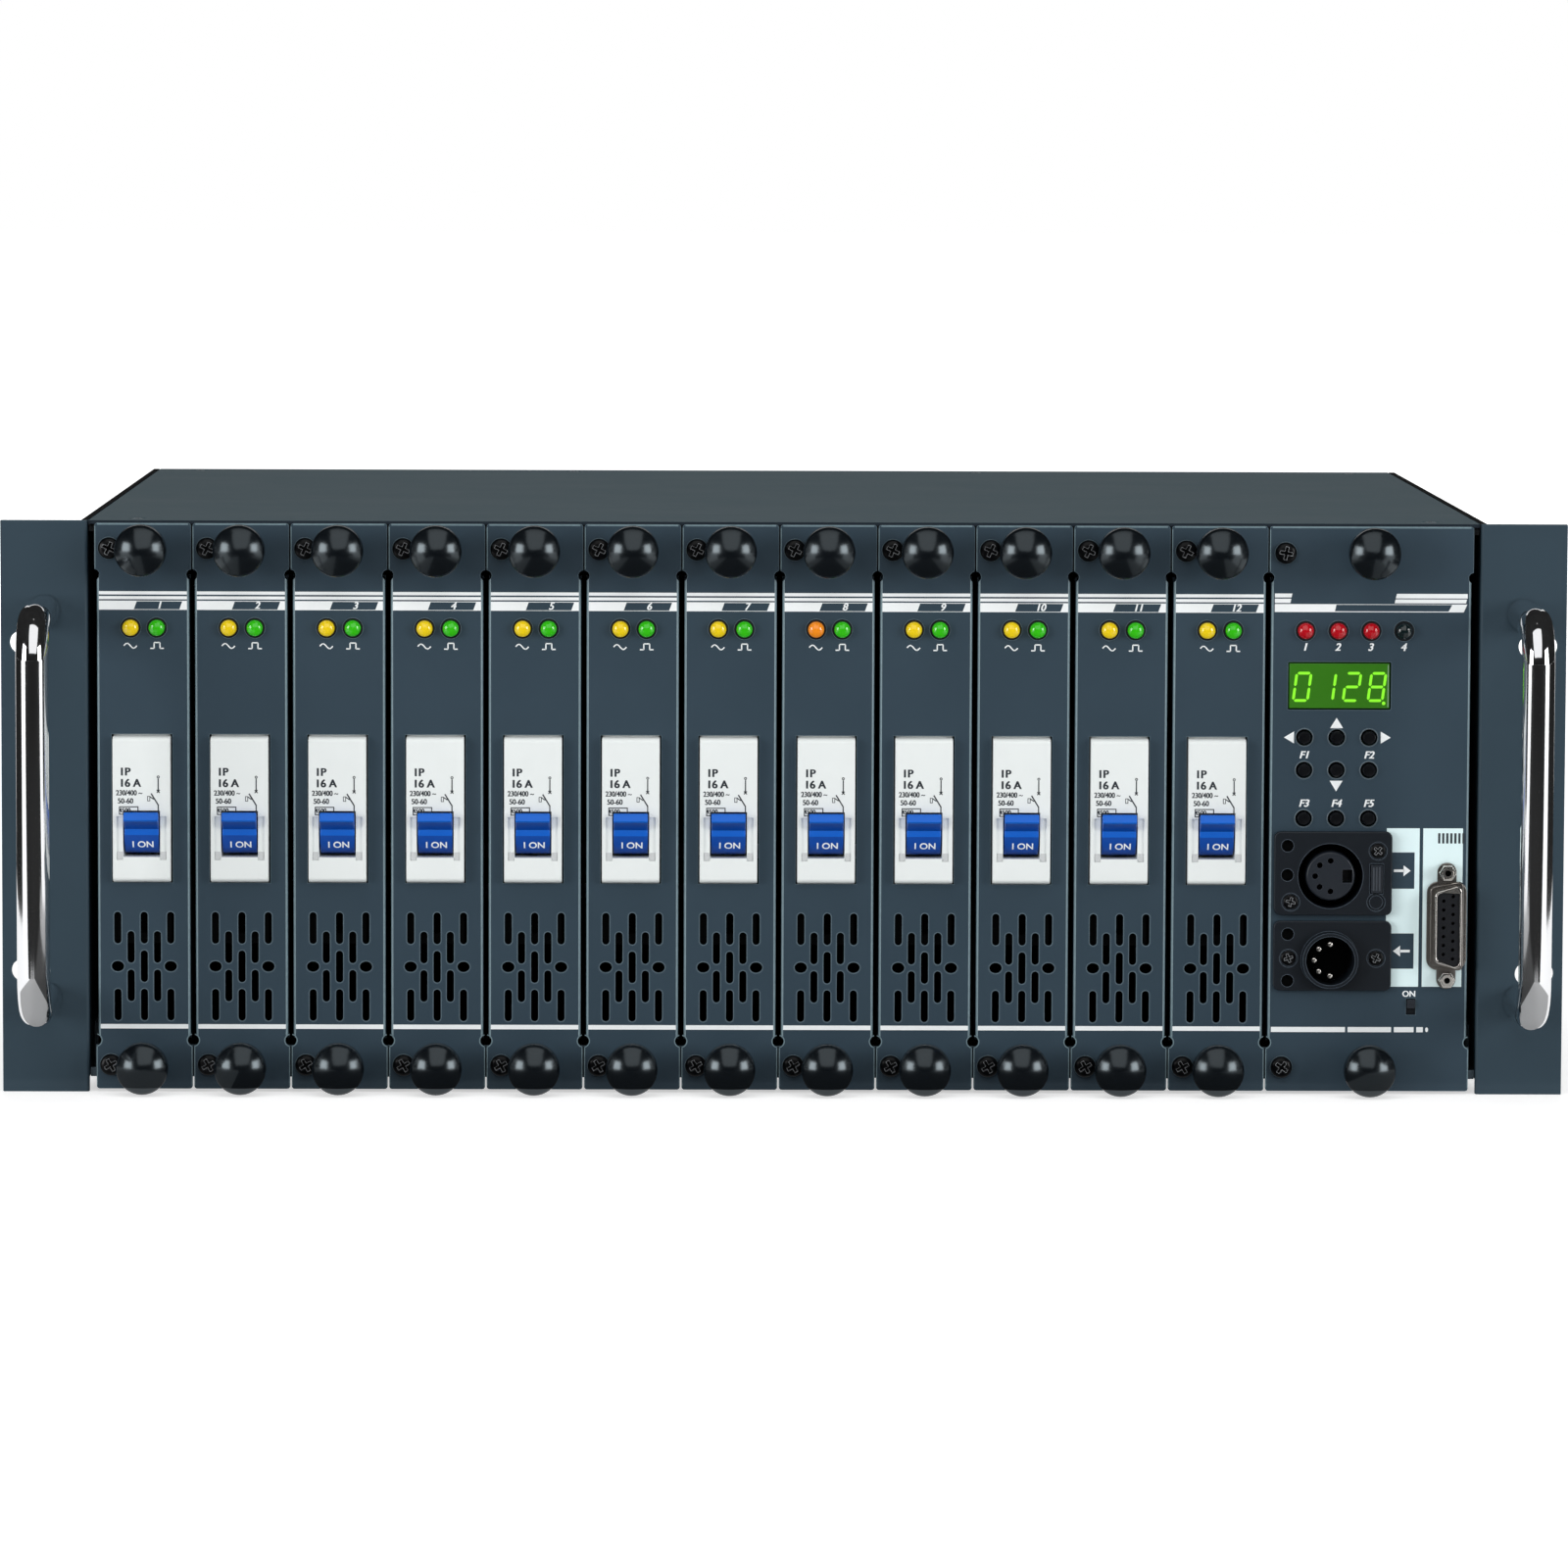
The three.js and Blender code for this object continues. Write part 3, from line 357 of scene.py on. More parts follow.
finishes = {}
WEAR_AND_HIGHLIGHT_FROM, WEAR_AND_HIGHLIGHT_TO = 0.995, 0.8  # how far the bevelled normal leans away where the edge wear and painted highlight start and end


def material(
    name, colour, roughness, variation=0.1, patch=30, relief=0.01, metallic=0.0, uneven=0.06, grain=900,
    stretch=(1, 1, 1), wear_and_highlight=None, wear_and_highlight_radius=0.3, wear_and_highlight_share=0.7, glow=0.0, specular=0.5, coat=0.0,
    tint=(1, 1, 1, 1),
):
    """A finish with patches of colour and roughness, a fine relief in millimetres and lighter edges, partly
    edge wear and partly painted highlight.
    """
    colour = linear(*colour)
    made = bpy.data.materials.new(name)
    made.use_nodes = True
    made.diffuse_color = colour
    tree = made.node_tree
    place_in = node(tree, "TexCoord", {}).outputs["Object"]
    lot = node(tree, "ObjectInfo", {}).outputs["Random"]
    shift = node(tree, "VectorMath", {0: place_in, 1: stretch, 2: lot}, operation="MULTIPLY_ADD").outputs[0]
    patches = node(tree, "TexNoise", {"Scale": patch, "Detail": 4, "Vector": shift}).outputs["Fac"]
    pale, deep = scaled(colour, 1 + variation), scaled(colour, 1 - variation)
    shown = node(tree, "Mix", {"A": deep, "B": pale, "Factor": patches}, data_type="RGBA").outputs["Result"]
    fine = node(tree, "TexNoise", {"Scale": grain, "Detail": 2, "Vector": shift}).outputs["Fac"]
    low, high = max(0.02, roughness - uneven), min(1, roughness + uneven)
    rough = node(tree, "MapRange", {"To Min": low, "To Max": high, "Value": patches})
    bump = node(tree, "Bump", {"Strength": 0.3, "Distance": relief * MM, "Height": fine})
    # Lighter edges: partly edge wear, partly a painted highlight where edges would catch the light.
    if wear_and_highlight:
        soft = node(tree, "Bevel", {"Radius": wear_and_highlight_radius * MM}, samples=6).outputs["Normal"]
        solid = node(tree, "NewGeometry", {}).outputs["Normal"]
        turn = node(tree, "VectorMath", {0: soft, 1: solid}, operation="DOT_PRODUCT").outputs["Value"]
        reach = {"From Min": WEAR_AND_HIGHLIGHT_FROM, "From Max": WEAR_AND_HIGHLIGHT_TO, "To Max": wear_and_highlight_share, "Value": turn}
        edge = node(tree, "MapRange", reach).outputs["Result"]
        worn_and_lit = node(tree, "Mix", {"A": shown, "B": linear(*wear_and_highlight), "Factor": edge}, data_type="RGBA")
        shown = worn_and_lit.outputs["Result"]
    shader = tree.nodes["Principled BSDF"]
    values = {"Base Color": shown, "Metallic": metallic, "Roughness": rough.outputs["Result"]}
    values.update({"Normal": bump.outputs["Normal"], "Specular IOR Level": specular})
    values.update({"Specular Tint": tint, "Coat Weight": coat})
    if glow:
        values.update({"Emission Color": shown, "Emission Strength": glow})
    fill(tree, shader, values)
    finishes[name] = made


# Name, colour, roughness, then variation, patch and relief where they aren't the usual ones
# Painted highlight: the pale colour along the painted sheet's edges stands for edges catching the light.
EDGE_HIGHLIGHT = (112, 134, 144)
# Painted highlight: a paler, glossier copy of the panel paint for the outer bends and upper edges.
material("bend_highlight", (112, 134, 142), 0.36, 0.25, 900, 0.02)
material("panel_paint", (47, 64, 76), 0.5, 0.1, 30, 0.02, wear_and_highlight=EDGE_HIGHLIGHT, wear_and_highlight_radius=0.42, specular=0.25)
material("vent_rim_highlight", (84, 102, 112), 0.45, 0.3, 900, 0.02)
material("ear_paint", (47, 64, 75), 0.5, 0.09, 30, 0.02, wear_and_highlight=EDGE_HIGHLIGHT, specular=0.25)
material("cover_paint", (64, 82, 89), 0.6, 0.07, 30, 0.03, wear_and_highlight=(110, 122, 128), specular=0.12)
material("cover_edge_shade", (34, 42, 50), 0.7, 0.12, 60, specular=0.08)
material("wall_top_shade", (7, 8, 9), 0.8, 0.15, 60, specular=0.05)
material("tray_paint", (58, 70, 78), 0.5, 0.09, 30, 0.02, wear_and_highlight=EDGE_HIGHLIGHT, specular=0.25)
material("chrome", (232, 233, 235), 0.06, 0.02, 30, 0.002, metallic=1, uneven=0.03, grain=60)
material("zinc", (168, 172, 174), 0.35, 0.12, 160, 0.006, metallic=1, wear_and_highlight=(215, 217, 218))
material("rail_steel", (34, 37, 40), 0.5, 0.1, 60, 0.006, metallic=0.3, stretch=(0.1, 1, 1))
material("fin_metal", (92, 95, 98), 0.4, 0.12, 100, metallic=0.7, stretch=(1, 0.1, 1), wear_and_highlight=(150, 152, 154))
material("shell_metal", (236, 232, 226), 0.17, 0.05, 200, 0.004, metallic=1, wear_and_highlight=(240, 236, 232))
material("flange_metal", (128, 124, 120), 0.28, 0.1, 120, 0.006, metallic=1, wear_and_highlight=(170, 166, 162))
material("gold", (236, 222, 186), 0.16, 0.06, 300, 0.002, metallic=1)
material("copper", (168, 92, 48), 0.28, 0.14, 260, 0.006, metallic=0.9, coat=0.6)
material(
    "knob_black", (9, 13, 17), 0.2, 0.15, 30, 0.003, uneven=0.04, wear_and_highlight=(30, 36, 42), wear_and_highlight_radius=0.25,
    wear_and_highlight_share=0.5, specular=0.65, tint=(0.8, 0.93, 1, 1)
)
# Screw heads: the near-white edge colour is a painted glint round the cross recess.
material(
    "screw_black", (6, 7, 9), 0.3, 0.2, 400, wear_and_highlight=(215, 220, 225), wear_and_highlight_radius=0.2, wear_and_highlight_share=0.95,
    specular=0.18
)
# Socket plates: the pale edge colour is a painted highlight round their edges.
material(
    "socket_black", (20, 26, 33), 0.4, 0.1, 90, 0.02, wear_and_highlight=(108, 122, 136), wear_and_highlight_radius=0.4,
    wear_and_highlight_share=0.8, specular=0.3
)
material("core_black", (30, 36, 44), 0.36, 0.1, 90, wear_and_highlight=(96, 102, 112), wear_and_highlight_radius=0.2)
# Near-black for black parts, and painted shade inside holes, recesses and behind the vents.
material("black_and_shade", (4, 5, 6), 0.8, 0.2, 90, specular=0.08)
material("insert_black", (22, 24, 28), 0.5, 0.1, 200, specular=0.2)
material("rubber", (24, 24, 25), 0.75, 0.15, 90, 0.05)
# Keys: the grey edge colour is a painted highlight round their tops.
material(
    "key_black", (7, 9, 13), 0.3, 0.15, 200, wear_and_highlight=(64, 70, 80), wear_and_highlight_radius=0.2, wear_and_highlight_share=0.5,
    specular=0.3
)
material("key_rim_highlight", (92, 104, 112), 0.4, 0.08, 200, 0.004)
material("case_white", (228, 233, 232), 0.42, 0.02, 120, 0.006, wear_and_highlight=(245, 247, 246), wear_and_highlight_share=0.5)
material("case_dark", (62, 68, 76), 0.36, 0.06, 120)
material("case_grey", (196, 199, 200), 0.5, 0.04, 120)
material(
    "toggle_blue", (0, 94, 198), 0.34, 0.06, 150, 0.006, wear_and_highlight=(40, 136, 228), wear_and_highlight_share=0.6,
    specular=0.35
)
# Painted shade: a darker copy of the toggle's blue for its underside and lower half.
material(
    "toggle_blue_shade", (0, 68, 158), 0.36, 0.06, 150, 0.006, wear_and_highlight=(20, 100, 196), wear_and_highlight_share=0.6,
    specular=0.35
)
material("ink_white", (236, 240, 241), 0.5, 0.03, 150, 0.006)
material("ink_mint", (222, 243, 245), 0.5, 0.03, 150, 0.006)
material("ink_dark", (34, 42, 50), 0.5, 0.08, 150, 0.006)
material("lamp_ring", (22, 26, 30), 0.35, 0.1, 150, 0.006)
material("display_edge_highlight", (132, 160, 132), 0.4, 0.05, 150, 0.004)
material("display_green", (50, 112, 22), 0.2, 0.05, 120, 0.002, glow=0.12, coat=0.4)
material("segment_green", (126, 224, 40), 0.3, 0.04, 300, glow=0.5)
material("core_paint", (200, 196, 120), 0.5, 0.1, 120, 0.02)
material("board_green", (26, 84, 46), 0.4, 0.12, 140, wear_and_highlight=(150, 160, 110))
material("terminal_blue", (40, 74, 92), 0.45, 0.08, 150)
material("lamp_yellow", (226, 196, 16), 0.15, 0.06, 500, 0.002, glow=0.12, coat=0.5)
material("lamp_orange", (228, 132, 22), 0.15, 0.06, 500, 0.002, glow=0.14, coat=0.5)
material("lamp_green", (46, 176, 12), 0.15, 0.1, 500, 0.002, glow=0.16, coat=0.5)
material("lamp_red", (170, 6, 22), 0.15, 0.1, 500, 0.002, glow=0.1, coat=0.5)
material("lamp_dark", (14, 28, 30), 0.12, 0.1, 500, 0.002, coat=0.5)


# Pieces

SHARP = math.radians(34)


class Piece:
    """Solids, each with its own finish, gathered into one mesh."""

    def __init__(self, name):
        self.name = name
        self.bm = bmesh.new()
        self.used = []

    def add(self, finish, *meshes, other=None, where=None):
        """Adds solids. Faces for which where(centre, normal) holds get the other finish."""
        for mesh in meshes:
            for polygon in mesh.polygons:
                chosen = other if where and where(polygon.center, polygon.normal) else finish
                if chosen not in self.used:
                    self.used.append(chosen)
                polygon.material_index = self.used.index(chosen)
            self.bm.from_mesh(mesh)
            bpy.data.meshes.remove(mesh)
        return self

    def mesh(self):
        mesh = bpy.data.meshes.new(self.name)
        self.bm.to_mesh(mesh)
        self.bm.free()
        mesh.transform(TO_FRAME)
        for finish in self.used:
            mesh.materials.append(finishes[finish])
        for polygon in mesh.polygons:
            polygon.use_smooth = True
        mesh.set_sharp_from_angle(angle=SHARP)
        return mesh


def place(name, mesh, body, x=0.0, replaces=()):
    """An object that shows a mesh at x and moves with a body."""
    thing = stand(name, mesh)
    thing.location.x = x * MM
    normals = thing.modifiers.new("normals", "WEIGHTED_NORMAL")
    normals.keep_sharp = True
    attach(thing, body)
    if replaces:
        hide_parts(*replaces)
    return thing


# Small parts that repeat

KNOB_SLOPES = [5, 11, 16, 21, 26, 32, 39]  # degrees, one for each millimetre from the tip


def knobs():
    """The pull knobs: a flared stem, a rounded rim and a face that rises to a soft tip."""
    profile = [(0, 0.5), (4.9, 0.5), (4.7, -0.6), (4.6, -2.4), (5.0, -4.4), (5.9, -6.2), (7.1, -7.7)]
    profile += [(7.75, -8.5), (8.0, -9.3), (8.0, -12.2), (7.93, -12.9), (7.74, -13.45), (7.42, -13.85)]
    y = -14.2
    for i, slope in reversed(list(enumerate(KNOB_SLOPES))):
        profile.append((i + 1, y))
        y -= math.tan(math.radians(slope))
    return [turned(profile + [(0, y)], 0, z, 48) for z in (KNOB_RISE, HEIGHT - KNOB_RISE)]


def screw(x, z, front, radius, head, spin):
    """A pan-head screw with a cross recess."""
    profile = [(0, front + 0.4), (radius, front + 0.4)]
    for i in range(9):
        angle = math.radians(90 * i / 8)
        rise = head * (0.35 + 0.65 * math.sin(angle))
        profile.append((radius * (0.45 + 0.55 * math.cos(angle)), front - rise))
    made = turned(profile + [(0, front - head)], x, z, 32)
    reach, half = radius * 0.6, radius * 0.15
    arms = []
    for turn in (spin, spin + 90):
        arm = block(-reach, reach, front - head - 0.5, front - head * 0.35, -half, half, 0)
        arms.append(shifted(arm, x, 0, z, turn, "Y"))
    return cut(made, fused(*arms))


PANEL_SCREW = (0, 3.35, 2.1)  # front, radius and height of the head


def panel_screws(x, z_low, z_high, spin_high, spin_low):
    return screw(x, z_high, *PANEL_SCREW, spin_high), screw(x, z_low, *PANEL_SCREW, spin_low)


def lamp(x):
    dome = [(2.5 * math.cos(a), -1.3 - 1.7 * math.sin(a)) for a in [math.radians(18 * i) for i in range(5)]]
    return turned([(0, 1.0), (2.5, 1.0)] + dome + [(0, -3.0)], x, LAMP_Z, 28)


def lamp_collar(x):
    profile = [(2.5, 0.4), (3.15, 0.4), (3.15, -0.15), (3.0, -0.3), (2.62, -0.3), (2.5, -0.1)]
    return turned(profile, x, LAMP_Z, 28, True)


def opening(outline):
    """A cutter through a panel."""
    return plate([outline], -2, SHEET + 2)


def lamp_holes(places):
    return [opening(ring(x, LAMP_Z, 2.6, 24)) for x in places]


def rear_plug(left):
    return block(left, left + 16, CARRIER_END - 14, PLUG_END, 81, 115, 0.6)


def folded_sheet(width, window_cuts):
    """A front panel with its flanges bent back, flat tabs at both ends and round relief notches."""
    edge = width / 2 - EDGE_INSET
    tab = width / 2 - 0.25
    bend, inner, corner = 1.0, 0.2, 0.9
    flange_end = 12.0
    section = (
        [(-edge, CARRIER_END)]
        + arc(-edge + bend, bend, bend, 180, 270, 5)
        + arc(edge - bend, bend, bend, 270, 360, 5)
        + [(edge, flange_end), (edge - SHEET, flange_end)]
        + arc(edge - SHEET - inner, SHEET + inner, inner, 0, -90, 2)
        + arc(-edge + SHEET + inner, SHEET + inner, inner, 270, 180, 2)
        + [(-edge + SHEET, CARRIER_END)]
    )
    neck = edge - bend - 1
    tabs = []
    for end, flange, turn in ((PANEL_BOTTOM, FLANGE_BOTTOM, 1), (PANEL_TOP, FLANGE_TOP, -1)):
        outline = arc(-tab + corner, end + corner * turn, corner, 180, 180 + 90 * turn, 4)
        outline += arc(tab - corner, end + corner * turn, corner, -90 * turn, 0, 4)
        outline += [(tab, flange), (neck, flange), (neck, flange + turn)]
        outline += [(-neck, flange + turn), (-neck, flange), (-tab, flange)]
        tabs.append(plate([outline], 0, SHEET))
    made = fused(upright([section], FLANGE_BOTTOM, FLANGE_TOP), *tabs)
    notches = []
    for x in (-width / 2, width / 2):
        for z in (FLANGE_BOTTOM + 0.1, FLANGE_TOP + 0.3):
            notches.append(plate([ring(x, z, 1.75, 20)], -2, 7))
    return cut(made, *notches, *window_cuts)


def is_bend(centre, normal):
    """Holds on the outside of a sheet's bends and along its upper edge, where a paler paint is a painted
    highlight.
    """
    return normal.y < -0.2 and abs(normal.x) > 0.3 or normal.z > 0.5 and centre.z > PANEL_TOP - 1


def worn_lines(width):
    """Painted highlight lines along a panel's upper edge, beside its tabs and round its lower notches."""
    reach = width / 2 - 1.1
    side = width / 2 - 0.27
    fine = 0.26
    low_end, low_start = FLANGE_BOTTOM - 2.0, PANEL_BOTTOM + 1
    lines = [
        box_outline(-reach, reach, PANEL_TOP - 0.5, PANEL_TOP - 0.02),
        box_outline(-side, fine - side, FLANGE_TOP + 2.4, PANEL_TOP - 1),
        box_outline(-side, fine - side, low_start, low_end),
        box_outline(side - fine, side, low_start, low_end),
    ]
    z = FLANGE_BOTTOM + 0.1
    for x, turn in ((-width / 2, 0), (width / 2, 180)):
        lines.append(arc(x, z, 2.05, turn - 76, turn + 76, 14) + arc(x, z, 1.78, turn + 76, turn - 76, 14))
    return inked(*lines)


# Dimmer modules, drawn round x = 0

BREAKER_X = -0.5
TOGGLE_Y = 3.4
TOGGLE_Z = 80.5
DRUM = 6.4
LAMP_PLACES = (-3.8, 4.25)
CARRIER_LEFT = -PITCH / 2 + EDGE_INSET + SHEET
CASE_FRONT = -3.0


def vent_outlines(grown=0.0):
    outlines = []
    for column in range(-2, 3):
        for row in range(-2, 3):
            if (column + row) % 2:
                continue
            u = column * 4.08
            v = 39.1 + row * 5.98
            if abs(column) == 2 and row == 0:
                outlines.append(oval(u, v, 3.9 + 2 * grown, 3.3 + 2 * grown))
            else:
                half, tall = 1.12 + grown, 4.95 + grown
                outlines.append(rounded(u - half, u + half, v - tall, v + tall, half - 0.01, 6))
    return outlines


def module_panel():
    window = box_outline(BREAKER_X - 9.35, BREAKER_X + 9.4, 65.1, 111.1)
    cuts = [opening(outline) for outline in vent_outlines() + [window]] + lamp_holes(LAMP_PLACES)
    # Pale rings round the vent slots: painted highlight on the slots' edges.
    rim_highlights = [plate(pair, -0.02, INK) for pair in zip(vent_outlines(0.24), vent_outlines(0.01))]
    piece = Piece("module_panel")
    piece.add("panel_paint", folded_sheet(PITCH, cuts), other="bend_highlight", where=is_bend)
    piece.add("bend_highlight", *worn_lines(PITCH)).add("vent_rim_highlight", *rim_highlights).add("knob_black", *knobs())
    piece.add("screw_black", *panel_screws(-10.4, 8.5, 168.5, 25, 60))
    return piece.add("lamp_ring", *map(lamp_collar, LAMP_PLACES)).mesh()


CHOKE_Y = 196
CHOKE_Z = 52


def choke_point(side, radius, turn):
    return (CARRIER_LEFT + side, CHOKE_Y + radius * math.cos(turn), CHOKE_Z + radius * math.sin(turn))


def winding():
    """Enamelled wire wound round a ring core that stands against the carrier plate."""
    turns, steps = 34, 12
    path = []
    for i in range(turns * steps):
        across = TURN * i / steps
        side, radius = 9.7 + 8.6 * math.sin(across), 17.5 + 7.9 * math.cos(across)
        path.append(choke_point(side, radius, across / turns))
    return rod(path, 0.85, 6, True)


def ring_core():
    section = rounded(10.6, 24.4, 2.2, 17.2, 2.5, 3)
    rows = [[choke_point(v, u, TURN * i / 48) for u, v in section] for i in range(48)]
    return from_rows(rows, True, True, False)


FIN_BASE = 96
FIN_PITCH = 8.4
FINS = 7


def module_insides():
    left = CARRIER_LEFT
    piece = Piece("module_insides")
    outline = [(left - 0.1, FIN_BASE)]
    for i in range(FINS):
        z = FIN_BASE + i * FIN_PITCH
        outline += [(left + 20, z), (left + 20, z + 1.6)]
        if i < FINS - 1:
            outline += [(left + 3, z + 1.6), (left + 3, z + FIN_PITCH)]
    outline.append((left - 0.1, FIN_BASE + (FINS - 1) * FIN_PITCH + 1.6))
    piece.add("fin_metal", plate([outline], 62, 148, 0.2))
    piece.add("core_paint", ring_core()).add("copper", winding())
    piece.add("board_green", block(left + 0.6, left + 2.2, 70, 236, 22, 92, 0.1))
    thyristors = [block(left + 2.2, left + 7, y, y + 15.5, 74, 90, 0.3) for y in (78, 112)]
    chips = [block(left + 2.2, left + 5.2, y, y + 8, 34, 41, 0.3) for y in (84, 104, 124)]
    piece.add("black_and_shade", *thyristors, *chips)
    caps = [block(left + 2.2, left + 16, y, y + 18, 52, 66, 1.2) for y in (76, 104, 132)]
    piece.add("terminal_blue", *caps)
    rail = [(41.3, 70.5), (46, 70.5), (46, 105.5), (41.3, 105.5)]
    rail += [(41.3, 104), (44.5, 104), (44.5, 72), (41.3, 72)]
    piece.add("zinc", sideways([rail], left - 0.1, BREAKER_X + 8.8, 0.2))
    lug = block(left + 2, left + 14, CARRIER_END - 18, CARRIER_END - 14, 84, 112, 0.4)
    piece.add("socket_black", rear_plug(left), lug)
    contacts = [block(left + 5, left + 11, 269.2, 269.7, z, z + 2.4, 0.2) for z in range(84, 112, 4)]
    return piece.add("gold", *contacts).mesh()


def stroke(start, end, width, front=-INK):
    """A straight printed line in X and Z."""
    (u0, v0), (u1, v1) = start, end
    length = math.hypot(u1 - u0, v1 - v0)
    nu, nv = -(v1 - v0) / length * width / 2, (u1 - u0) / length * width / 2
    outline = [(u0 - nu, v0 - nv), (u1 - nu, v1 - nv), (u1 + nu, v1 + nv), (u0 + nu, v0 + nv)]
    return plate([outline], front, front + 2 * INK)


def contact_symbol(x, front):
    """The general symbol of a switching contact."""
    lines = [
        ((x, 97.6), (x, 93.6), 0.35),
        ((x - 0.45, 94.1), (x + 0.45, 93.2), 0.3),
        ((x - 0.45, 93.2), (x + 0.45, 94.1), 0.3),
        ((x - 2.2, 93), (x, 89.4), 0.4),
        ((x, 89.6), (x, 86.4), 0.35),
        ((x - 2.6, 92), (x - 1.4, 91.2), 0.3),
    ]
    frame_mark = [box_outline(x - 3.4, x - 2.5, 90.6, 92.2), box_outline(x - 3.2, x - 2.7, 90.8, 92)]
    clamp_mark = [oval(x, 98.1, 0.9, 0.9, 12), oval(x, 98.1, 0.4, 0.4, 12)]
    marks = [plate(mark, front, front + 2 * INK) for mark in (frame_mark, clamp_mark)]
    return [stroke(*line, front) for line in lines] + marks


RATINGS = [  # words, size, left end, height, spread of the copies, weight, squeeze
    ("1P", 3.4, -6.8, 99.6, 0.1, 0.05, 1.0),
    ("16 A", 3.4, -6.8, 96.1, 0.1, 0.05, 1.0),
    ("230/400 ~", 2.3, -7.8, 93.1, 0.06, 0.02, 0.85),
    ("50-60", 2.3, -7.3, 90.6, 0.06, 0.02, 0.9),
    ("4500", 2.0, -6.9, 87.7, 0.05, 0.02, 0.9),
]


def breaker_case():
    x = BREAKER_X
    half = 8.9
    outline = [(-3, 67), (-2.4, 66), (-1.4, 65.5), (1.5, 65.5), (1.5, 63), (46, 63), (46, 70.2)]
    outline += [(41, 70.2), (41, 105.8), (46, 105.8), (46, 130), (1.5, 130), (1.5, 110.5)]
    outline += [(-1.4, 110.5), (-2.4, 110), (-3, 109)]
    made = sideways([outline], x - half, x + half, 0.35, 2)
    pocket = block(x - 5.7, x + 5.7, -5, 11.3, TOGGLE_Z - 7.2, TOGGLE_Z + 7.2, 0)
    rests = [block(a, b, -5, -2.5, 72.4, 85.9, 0) for a, b in ((x - 7.7, x - 5.6), (x + 5.6, x + 7.7))]
    clamp_low, clamp_high = 52.5, 123.5
    lower, upper = [plate([ring(x, z, 3.3, 24)], -1, 9) for z in (clamp_low, clamp_high)]
    made = cut(made, fused(pocket, *rests), upper)
    # A black block behind the vents and a black lower clamp screw: painted shade, so that the vents look
    # dark.
    shade_block = block(x - half, x + half, 1.5, 46, 46, 62.9, 0.3)
    shade_block = cut(shade_block, lower, block(x - 10, x + 10, 20, 21, 45, 46.8, 0))
    stops = [block(a, b, -2.75, -2.4, 72.5, 75, 0.1) for a, b in ((x - 7.5, x - 5.9), (x + 5.9, x + 7.5))]
    piece = Piece("breaker_case").add("case_white", made).add("black_and_shade", shade_block).add("case_grey", *stops)
    piece.add("black_and_shade", screw(x, clamp_low, 8.9, 2.8, 1.8, 20))
    piece.add("zinc", screw(x, clamp_high, 8.9, 2.8, 1.8, 20))
    seams = [block(x - half - INK, x - half + 0.2, 3, 45, z, z + 0.3, 0) for z in (74, 116)]
    rivets = []
    for z in (68, 120):
        for y in (10, 38):
            rivet = turned([(0, 0), (1.6, 0), (1.3, -0.15), (0, -0.15)], 0, 0, 16)
            rivets.append(shifted(rivet, x - half, y, z, -90))
    piece.add("case_grey", *seams, *rivets)
    front = CASE_FRONT - INK
    for words, size, left, z, spread, weight, squeeze in RATINGS:
        copies = bold(words, size, x + left, z, spread, front, weight=weight, align="LEFT", squeeze=squeeze)
        piece.add("ink_dark", *copies)
    border = [box_outline(x - 6.9, x - 0.9, 86.4, 89.0), box_outline(x - 6.6, x - 1.2, 86.7, 88.7)]
    piece.add("ink_dark", plate(border, front, front + 2 * INK), *contact_symbol(x + 5.2, front))
    return piece.mesh()


# Faces of the toggle that get the darker blue as painted shade.
def is_underside(centre, normal):
    return normal.z < -0.5 or centre.z < 80


def toggle_lever():
    lean = math.radians(150)
    out = (math.cos(lean), math.sin(lean))
    across = (-math.sin(lean), math.cos(lean))
    edge = [(DRUM + 0.9, 1.62), (10.9, 1.6), (11.4, 1.3), (11.6, 0.8)]
    opening = math.degrees(math.asin(1.9 / DRUM))
    outline = arc(TOGGLE_Y, TOGGLE_Z, DRUM, 150 + opening, 510 - opening, 40)
    for reach, aside in [(r, -a) for r, a in edge] + edge[::-1]:
        y = TOGGLE_Y + reach * out[0] + aside * across[0]
        outline.append((y, TOGGLE_Z + reach * out[1] + aside * across[1]))
    lever = sideways([outline], BREAKER_X - 5.3, BREAKER_X + 5.3, 0.3, 2)
    piece = Piece("toggle_lever").add("toggle_blue", lever, other="toggle_blue_shade", where=is_underside)
    words = lettering("I ON", 3.2, BREAKER_X + 0.4, 0, 0, weight=0.06)
    words = sliced(words, [0.3 * i for i in range(-4, 5)])
    tilt = math.radians(-33)
    for vertex in words.vertices:
        angle = tilt + vertex.co.z / DRUM
        reach = DRUM + INK - vertex.co.y
        vertex.co.y = TOGGLE_Y - reach * math.cos(angle)
        vertex.co.z = TOGGLE_Z + reach * math.sin(angle)
    return piece.add("ink_white", words).mesh()


def module_lamps(first):
    left, right = map(lamp, LAMP_PLACES)
    return Piece("module_lamps").add(first, left).add("lamp_green", right).mesh()


